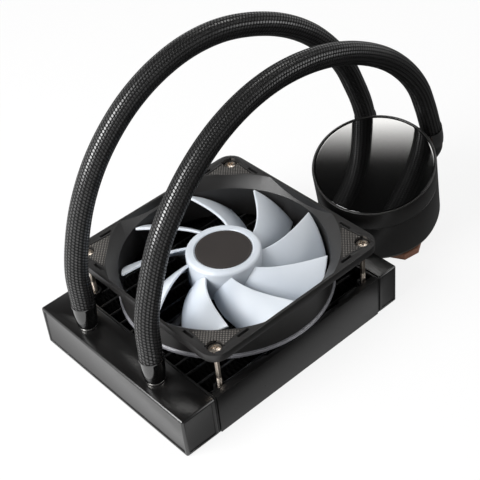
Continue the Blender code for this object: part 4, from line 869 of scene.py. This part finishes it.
@dataclass
class Fan:
    """The fan: frame, dimpled pads, long screws, frosted wheel and its motor.

    Sweep, chord and trail are power series along a blade, from its root to its tip: the leading
    edge's angle and the chord's angle in degrees, and the trailing edge's height.
    """

    hub_radius: float = 20.75
    hub_top: float = 23.1
    hub_foot: float = 4.2
    hub_wall: float = 1.5
    label_radius: float = 15.5
    label_depth: float = 0.8
    blades: int = 9
    blade_thickness: float = 1.5
    blade_edge: float = 0.45
    root_radius: float = 20.0
    tip_radius: float = 56.0
    sweep: Sequence[float] = (-1.0, 45.8, -14.6)
    chord: Sequence[float] = (32.0, -6.6)
    lead_height: float = 21.0
    trail: Sequence[float] = (8.0, -3.0)
    camber: float = 5.6
    notch_size: Sequence[float] = (1.5, 1.1, 4.0)
    notch_reach: float = 4.5
    head_radius: float = 3.7
    head_height: float = 1.8
    head_rim: float = 0.55
    dome: float = 1.2
    recess: Sequence[float] = (4.2, 0.95, 1.9)
    shank_radius: float = 1.4
    thread_length: float = 9.0
    thread_pitch: float = 0.7

    def build(self) -> None:
        """Make the fan's pieces."""
        softened("fan_frame", Finishes.FRAME_PLASTIC, 0.22, self.notches())
        for number in range(1, 5):
            softened(f"corner_pad_{number}", Finishes.PAD_RUBBER, 0.12)
        for number, (x, y) in enumerate(self.screw_places(), 1):
            self.screw(number, x, y)
        self.foot_ring()
        self.wheel()
        dress("hub_label", Finishes.LABEL_FILM)
        dress("fan_shaft", Finishes.STEEL)
        dress("fan_magnet_ring", Finishes.MAGNET)
        dress("fan_bearing", Finishes.BRONZE)
        dress("fan_stator", Finishes.MOTOR_CORE)
        dress("fan_circuit_board", Finishes.BOARD)

    def screw_places(self) -> list[Span]:
        """Return each screw's x and y in metres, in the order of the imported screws."""
        places = []
        for number in range(1, 5):
            low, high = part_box(f"fan_screw_{number}")
            places.append(((low[0] + high[0]) / 2, (low[1] + high[1]) / 2))
        return places

    def notches(self) -> Mesh:
        """Make the cutter of the four small notches round each screw's counterbore."""
        cutter: Mesh | None = None
        top = FAN_CENTRE.z + FAN_HEIGHT
        for x, y in self.screw_places():
            for quarter in range(4):
                angle = math.radians(45 + 90 * quarter)
                out = Vector((math.cos(angle), math.sin(angle), 0.0)) * self.notch_reach * MM
                place = Matrix.Translation(Vector((x, y, top)) + out)
                cutter = block(self.notch_size, place @ Matrix.Rotation(angle, 4, "Z"), cutter)
        return cutter

    def screw(self, number: int, x: float, y: float) -> None:
        """Make one long screw: pan head with a cross recess, shank with a rolled thread."""
        low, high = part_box(f"fan_screw_{number}")
        seat, tip = high[2] / MM - self.head_height, low[2] / MM
        profile = [(0.0, tip), (1.0, tip), (1.3, tip + 0.7)]
        thread, pitch, height = self.shank_radius, self.thread_pitch, tip + 0.9
        while height < tip + self.thread_length:
            profile += [(thread - 0.15, height), (thread + 0.05, height + pitch * 0.45),
                        (thread + 0.05, height + pitch * 0.6)]
            height += pitch
        head, rim = self.head_radius, seat + self.head_rim
        profile += [(thread, height), (thread, seat), (head - 0.2, seat), (head, seat + 0.2),
                    (head, rim)]
        for step in range(1, 7):
            angle = math.radians(90 * step / 6)
            profile.append((head * math.cos(angle) if step < 6 else 0.0,
                            rim + self.dome * math.sin(angle)))
        slot = Matrix.Translation((x, y, (seat + 1.7) * MM))
        mesh = carved(lathe(profile, 28, Matrix.Translation((x, y, 0.0))),
                      cross(self.recess, slot, 45.0 + 11 * number))
        node = f"fan_screw_{number}"
        piece(mesh, f"{node}_turned", Finishes.SCREW_NICKEL, node, 38.0)

    def foot_ring(self) -> None:
        """Turn the ring on which the fan's barrel stands; its pale plastic is a painted highlight
        where the ring catches the light.
        """
        ring = rounded([(58.3, 0.15), (59.7, 0.15), (59.7, 1.7), (59.1, 2.4), (58.3, 2.4)], 0.25)
        piece(lathe(ring, 180, Matrix.Translation(FAN_CENTRE)), "fan_foot_ring",
              Finishes.RING_PAINTED_HIGHLIGHT)

    def wheel(self) -> None:
        """Make the frosted hub cup and its swept blades."""
        roof = self.hub_top - self.label_depth
        ceiling, inner = roof - self.hub_wall, self.hub_radius - self.hub_wall
        outline = rounded([
            (0.0, ceiling), (inner, ceiling), (inner, self.hub_foot),
            (self.hub_radius, self.hub_foot), (self.hub_radius, self.hub_top, 3.0),
            (self.label_radius + 0.8, self.hub_top), (self.label_radius + 0.3, roof), (0.0, roof),
        ], 0.2)
        place = Matrix.Translation(FAN_CENTRE)
        mesh = lathe(outline, 96, place)
        for index in range(self.blades):
            turn = Matrix.Rotation(index * math.tau / self.blades, 4, "Z")
            self.blade(mesh, place @ turn)
        piece(mesh, "fan_wheel_frosted", Finishes.ROTOR_PLASTIC, "fan_rotor", 42.0, Body.WHEEL)

    def blade(self, mesh: Mesh, place: Matrix) -> None:
        """Bend a flat grid into one blade and give it thickness.

        Args:
            mesh: The wheel that it joins.
            place: The fan's place, turned to this blade.
        """
        grid = bmesh.new()
        bmesh.ops.create_grid(grid, x_segments=20, y_segments=18, size=0.5)
        thickness, top = self.blade_thickness, self.lead_height
        for vert in grid.verts:
            span, chord = vert.co.x + 0.5, vert.co.y + 0.5
            radius = self.root_radius + span * (self.tip_radius - self.root_radius)
            angle = math.radians(series(self.sweep, span) - series(self.chord, span) * chord)
            fall = (series(self.trail, span) - top) * chord
            height = top + fall + self.camber * chord * (1 - chord)
            vert.co = Vector((radius * math.cos(angle), radius * math.sin(angle),
                              height - thickness / 2)) * MM
        bmesh.ops.recalc_face_normals(grid, faces=grid.faces)
        if sum(face.normal.z for face in grid.faces) > 0:
            bmesh.ops.reverse_faces(grid, faces=grid.faces)
        bmesh.ops.solidify(grid, geom=grid.faces[:], thickness=-thickness * MM)
        bmesh.ops.recalc_face_normals(grid, faces=grid.faces)
        rim = [edge for edge in grid.edges
               if len(edge.link_faces) == 2 and edge.calc_face_angle(0.0) > math.radians(50)]
        bmesh.ops.bevel(grid, geom=rim, offset=self.blade_edge * MM, segments=3, profile=0.5,
                        affect="EDGES", clamp_overlap=True, material=-1)
        grid.transform(place)
        absorb(mesh, grid)


@dataclass
class PumpHead:
    """The pump head: satin housing, glossy lens, copper plate and swivel elbows."""

    radius: float = 35.25
    height: float = 51.7
    cap_height: float = 14.0
    lens_radius: float = 33.85
    steps: int = 128
    screw_reach: float = 29.0
    screw_recess: Sequence[float] = (2.9, 0.6, 2.0)
    port_height: float = 13.4
    collar_reach: float = 2.0
    elbow_radius: float = 4.4
    stem_radius: float = 3.8
    bend: float = 6.5

    def build(self, hoses: Hoses) -> None:
        """Make the pump head's pieces.

        Args:
            hoses: The hoses, whose ends the elbows reach.
        """
        self.housing()
        self.plates()
        for side, angle in (("left", 22.0), ("right", -28.0)):
            self.elbow(side, math.radians(angle), hoses)
        dress("pump_gasket", Finishes.GASKET)
        dress("pump_light_board", Finishes.BOARD)
        dress("pump_stator", Finishes.MOTOR_CORE)
        dress("pump_impeller", Finishes.IMPELLER)
        dress("pump_impeller_pin", Finishes.STEEL)

    def turned(self, node: str, name: str, finish: Finishes, outline: Profile) -> None:
        """Spin an outline about the pump's axis into the piece that replaces a node."""
        piece(lathe(outline, self.steps, pump_place()), name, finish, node)

    def housing(self) -> None:
        """Turn the housing and its cap with a fine seam between them, and the lens disc."""
        r, top, seam = self.radius, self.height, self.height - self.cap_height
        self.turned("pump_body", "pump_body_turned", Finishes.PUMP_SATIN, rounded([
            (22.5, 7.4), (33.5, 7.4), (33.5, 8.2), (r, 8.2), (r, seam - 0.3), (31.0, seam - 0.3),
            (31.0, 23.0), (10.7, 23.0), (10.7, 32.4), (0.0, 32.4), (0.0, 31.0), (9.3, 31.0),
            (9.3, 21.4), (22.5, 21.4),
        ], 0.5))
        seat, ledge = self.lens_radius + 0.12, top - 2.75
        self.turned("pump_cap", "pump_cap_turned", Finishes.PUMP_SATIN, rounded([
            (31.5, seam), (r, seam), (r, top), (seat, top), (seat, ledge), (31.5, ledge),
        ], 0.45))
        face, bottom, lens = top - 0.2, top - 2.4, self.lens_radius
        self.turned("pump_lens", "pump_lens_turned", Finishes.LENS, rounded([
            (0.0, bottom), (lens, bottom), (lens, face), (lens - 1.0, face, 0.0), (0.0, face),
        ], 0.4))

    def plates(self) -> None:
        """Make the base plate, and the copper plate with its four sunk screws."""
        base = rounded([(27.0, 5.8), (34.5, 5.8), (34.5, 7.1), (27.0, 7.1)], 0.25)
        self.turned("pump_base_plate", "pump_base_ring", Finishes.PLATE_STEEL, base)
        sink = [(0.0, -1.0), (2.9, -1.0), (2.9, 0.15), (1.5, 1.6), (0.0, 1.6)]
        head = [(0.0, 0.1), (2.5, 0.1), (2.65, 0.25), (1.4, 1.7), (0.0, 1.7)]
        cutter: Mesh | None = None
        screws: Mesh | None = None
        reach = self.screw_reach * MM
        for quarter in range(4):
            angle = math.radians(45 + 90 * quarter)
            spot = (reach * math.cos(angle), reach * math.sin(angle), 0.0)
            place = pump_place() @ Matrix.Translation(spot)
            cutter = lathe(sink, 24, place, cutter)
            recess = cross(self.screw_recess, place, 20.0)
            screws = absorb(screws, carved(lathe(head, 24, place), recess))
        softened("cold_plate", Finishes.COPPER, 0.25, cutter)
        piece(screws, "cold_plate_screws", Finishes.STEEL)

    def elbow(self, side: str, angle: float, hoses: Hoses) -> None:
        """Sweep one swivel elbow from its port round to its sleeve.

        Args:
            side: Which elbow it is.
            angle: The port's angle round the pump.
            hoses: The hoses, whose end sets the elbow's.
        """
        place = pump_place()
        out = place.to_3x3() @ Vector((math.cos(angle), math.sin(angle), 0.0))
        port = place @ Vector((0.0, 0.0, self.port_height * MM))
        end, rise = hoses.route(side)[-1], hoses.rise(side)
        low, high = self.radius + 0.1, self.radius + self.collar_reach
        shoulder = end - rise * (hoses.sleeve_length + 0.3) * MM
        a, d = port + out * high * MM, shoulder - rise * 1.2 * MM
        b, c = a + out * self.bend * MM, d - rise * self.bend * MM
        curve = []
        for step in range(25):
            t = step / 24
            s = 1 - t
            curve.append(s ** 3 * a + 3 * s * s * t * b + 3 * s * t * t * c + t ** 3 * d)
        path = [port + out * 33.0 * MM, *curve, shoulder, shoulder + rise * 0.02 * MM,
                end - rise * 1.0 * MM]
        last = len(path) - 1

        def radius(share: float) -> float:
            """Return the elbow's radius along its path: its stem is hidden in the sleeve."""
            stem = round(share * last) >= last - 1
            return (self.stem_radius if stem else self.elbow_radius) * MM

        collar = rounded([(3.9, low), (5.1, low), (5.1, high), (3.9, high)], 0.3)
        mesh = lathe(collar, 40, aimed(port, out), tube(path, radius, 36))
        node = f"pump_elbow_{side}"
        piece(mesh, f"{node}_swept", Finishes.SLEEVE, node, 45.0)


@dataclass
class Studio:
    """The camera, the surroundings, a pale floor, an overhead card and two soft side lights.

    The pairs from ring_top to far are where a smooth step begins and ends. The four floor values
    say how bright mirrors see the floor. The three core values say where it lies under the
    radiator's core, through which it must not glow. The camera's place is in millimetres.
    """

    lens_mm: float = 88.58
    camera_place: Sequence[float] = (-207.12, -322.63, 463.29)
    camera_turn: Sequence[float] = (49.4191, 4.7818, -42.4473)
    lamp: float = 0.3
    ring_top: Span = (0.32, 0.50)
    ring_back: Span = (-0.6, 0.1)
    floor_left: Span = (-0.125, -0.113)
    floor_front: Span = (-0.10, -0.07)
    floor_right: Span = (0.025, 0.045)
    floor_share: float = 0.32
    core_x: float = -44.8 * MM
    core_width: Span = (0.066, 0.076)
    core_depth: Span = (0.050, 0.059)
    far: Span = (0.4, 1.5)
    card_size: Span = (0.16, 0.75)
    card_height: float = 1.0
    card_edge: float = 0.392
    card_fade: float = 0.069
    card_shift: float = -0.10
    card_run: Span = (0.81, 0.59)
    card_power: float = 7.9

    def build(self) -> None:
        """Make the studio."""
        self.camera()
        self.world()
        self.floor()
        self.card()
        self.side_light("left light", (-0.76, 0.12, 0.62), 0.55, 12.0)
        self.side_light("front light", (0.70, -0.80, 0.50), 0.6, 3.0)

    def camera(self) -> None:
        """Set the camera at the photograph's place and angle."""
        data = bpy.data.cameras.new("camera")
        data.lens, data.sensor_width = self.lens_mm, 36.0
        data.clip_start, data.clip_end = 0.01, 50.0
        camera = linked("camera", data)
        camera.location = CORNER + Vector(self.camera_place) * MM
        camera.rotation_euler = [math.radians(angle) for angle in self.camera_turn]
        bpy.context.scene.camera = camera

    def world(self) -> None:
        """Make surroundings that mirrors see white near the horizon and dark overhead."""
        paint = Paint("studio", True)
        paint.surface(Color=WHITE, Strength=self.lamp)
        _, ahead, height = paint.parts(paint.node("ShaderNodeTexCoord", output="Generated"))
        low, behind = 1.0 - height.step(*self.ring_top), ahead.step(*self.ring_back)
        ring = paint.blend(low * (behind * 0.75 + 0.25), (0.004, 0.004, 0.004), WHITE)
        camera, mirrored = paint.shown()
        white = paint.node("ShaderNodeBackground", None, {"Color": WHITE})
        seen = paint.node("ShaderNodeBackground", None, {"Color": ring})
        paint.finish((mirrored, seen), (camera, white))
        bpy.context.scene.world = paint.material

    def floor(self) -> None:
        """Make the white floor, which keeps a soft shadow and which mirrors see by place."""
        mesh = bmesh.new()
        bmesh.ops.create_grid(mesh, x_segments=1, y_segments=1, size=6.0)
        bmesh.ops.translate(mesh, vec=(0, 0, -0.0002), verts=mesh.verts)
        paint = Paint("floor white")
        paint.surface(Base_Color=(0.88, 0.88, 0.88), Roughness=0.9, Specular_IOR_Level=0.1)
        x, ahead, _ = paint.parts(paint.place())
        left = 1.0 - x.step(*self.floor_left)
        dimmed = 1.0 - x.step(*self.floor_right) * 0.75
        beyond = ahead.step(*self.floor_front) * dimmed * self.floor_share
        level = paint.blend(left + (1.0 - left) * beyond, (0.01, 0.01, 0.01), WHITE)
        camera, mirrored = paint.shown()
        white = paint.node("ShaderNodeEmission", None, {"Color": WHITE})
        seen = paint.node("ShaderNodeEmission", None, {"Color": level, "Strength": 1.1})
        beside = (x - self.core_x).size().step(*self.core_width)
        clear = paint.maths("MAXIMUM", beside, ahead.size().step(*self.core_depth))
        far = paint.reach(x, ahead, Vector()).step(*self.far)
        glow = camera * (clear * (far * 0.15 + 0.65) + 0.2)
        paint.finish((mirrored, seen), (glow, white))
        self.stage_piece(mesh, "floor", paint.material)

    def card(self) -> None:
        """Make the overhead card, which fades to black towards one edge."""
        mesh = bmesh.new()
        bmesh.ops.create_grid(mesh, x_segments=1, y_segments=1, size=0.5)
        (run, rise), (length, width) = self.card_run, self.card_size
        turn = Matrix.Rotation(math.atan2(rise, run), 4, "Z")
        centre = turn @ Vector((self.card_edge + length / 2, self.card_shift, 0.0))
        mesh.transform(Matrix.Translation((centre.x, centre.y, self.card_height)) @ turn
                       @ Matrix.Diagonal((length, width, 1.0, 1.0)))
        bmesh.ops.reverse_faces(mesh, faces=mesh.faces)
        paint = Paint("card glow")
        x, y, _ = paint.parts(paint.place())
        across = (x * run + y * rise - self.card_edge) * (1.0 / self.card_fade)
        share = paint.maths("MINIMUM", paint.maths("MAXIMUM", across, 0.0), 1.0)
        light = paint.blend(paint.maths("POWER", share, 2.2), (0.0, 0.0, 0.0), (1.0, 0.99, 0.97))
        inputs = {"Color": light, "Strength": self.card_power}
        glow = paint.node("ShaderNodeEmission", None, inputs)
        paint.feed(paint.out.inputs["Surface"], glow)
        self.stage_piece(mesh, "overhead card", paint.material)

    @staticmethod
    def stage_piece(mesh: Mesh, name: str, material: bpy.types.Material) -> None:
        """Add an object that isn't part of the cooler."""
        data = stored(mesh, name)
        data.materials.append(material)
        linked(name, data)

    @staticmethod
    def side_light(name: str, place: Sequence[float], size: float, power: float) -> None:
        """Add a soft square light that faces the cooler."""
        data = bpy.data.lights.new(name, "AREA")
        data.shape, data.size, data.energy = "SQUARE", size, power
        light = linked(name, data)
        light.location = place
        towards = Vector((0.0, 0.0, 0.05)) - Vector(place)
        light.rotation_euler = towards.to_track_quat("-Z", "Y").to_euler()


def write_sizes() -> None:
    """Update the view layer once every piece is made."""
    bpy.context.view_layer.update()


def main() -> None:
    """Build the studio and the cooler's sub-assemblies in order."""
    logging.basicConfig(level=logging.INFO, format="%(name)s: %(message)s")
    bpy.context.scene.view_settings.view_transform = "Standard"
    Studio().build()
    hoses = Hoses()
    hoses.build()
    Radiator().build()
    Fan().build()
    PumpHead().build(hoses)
    write_sizes()


if __name__ == "__main__":
    main()
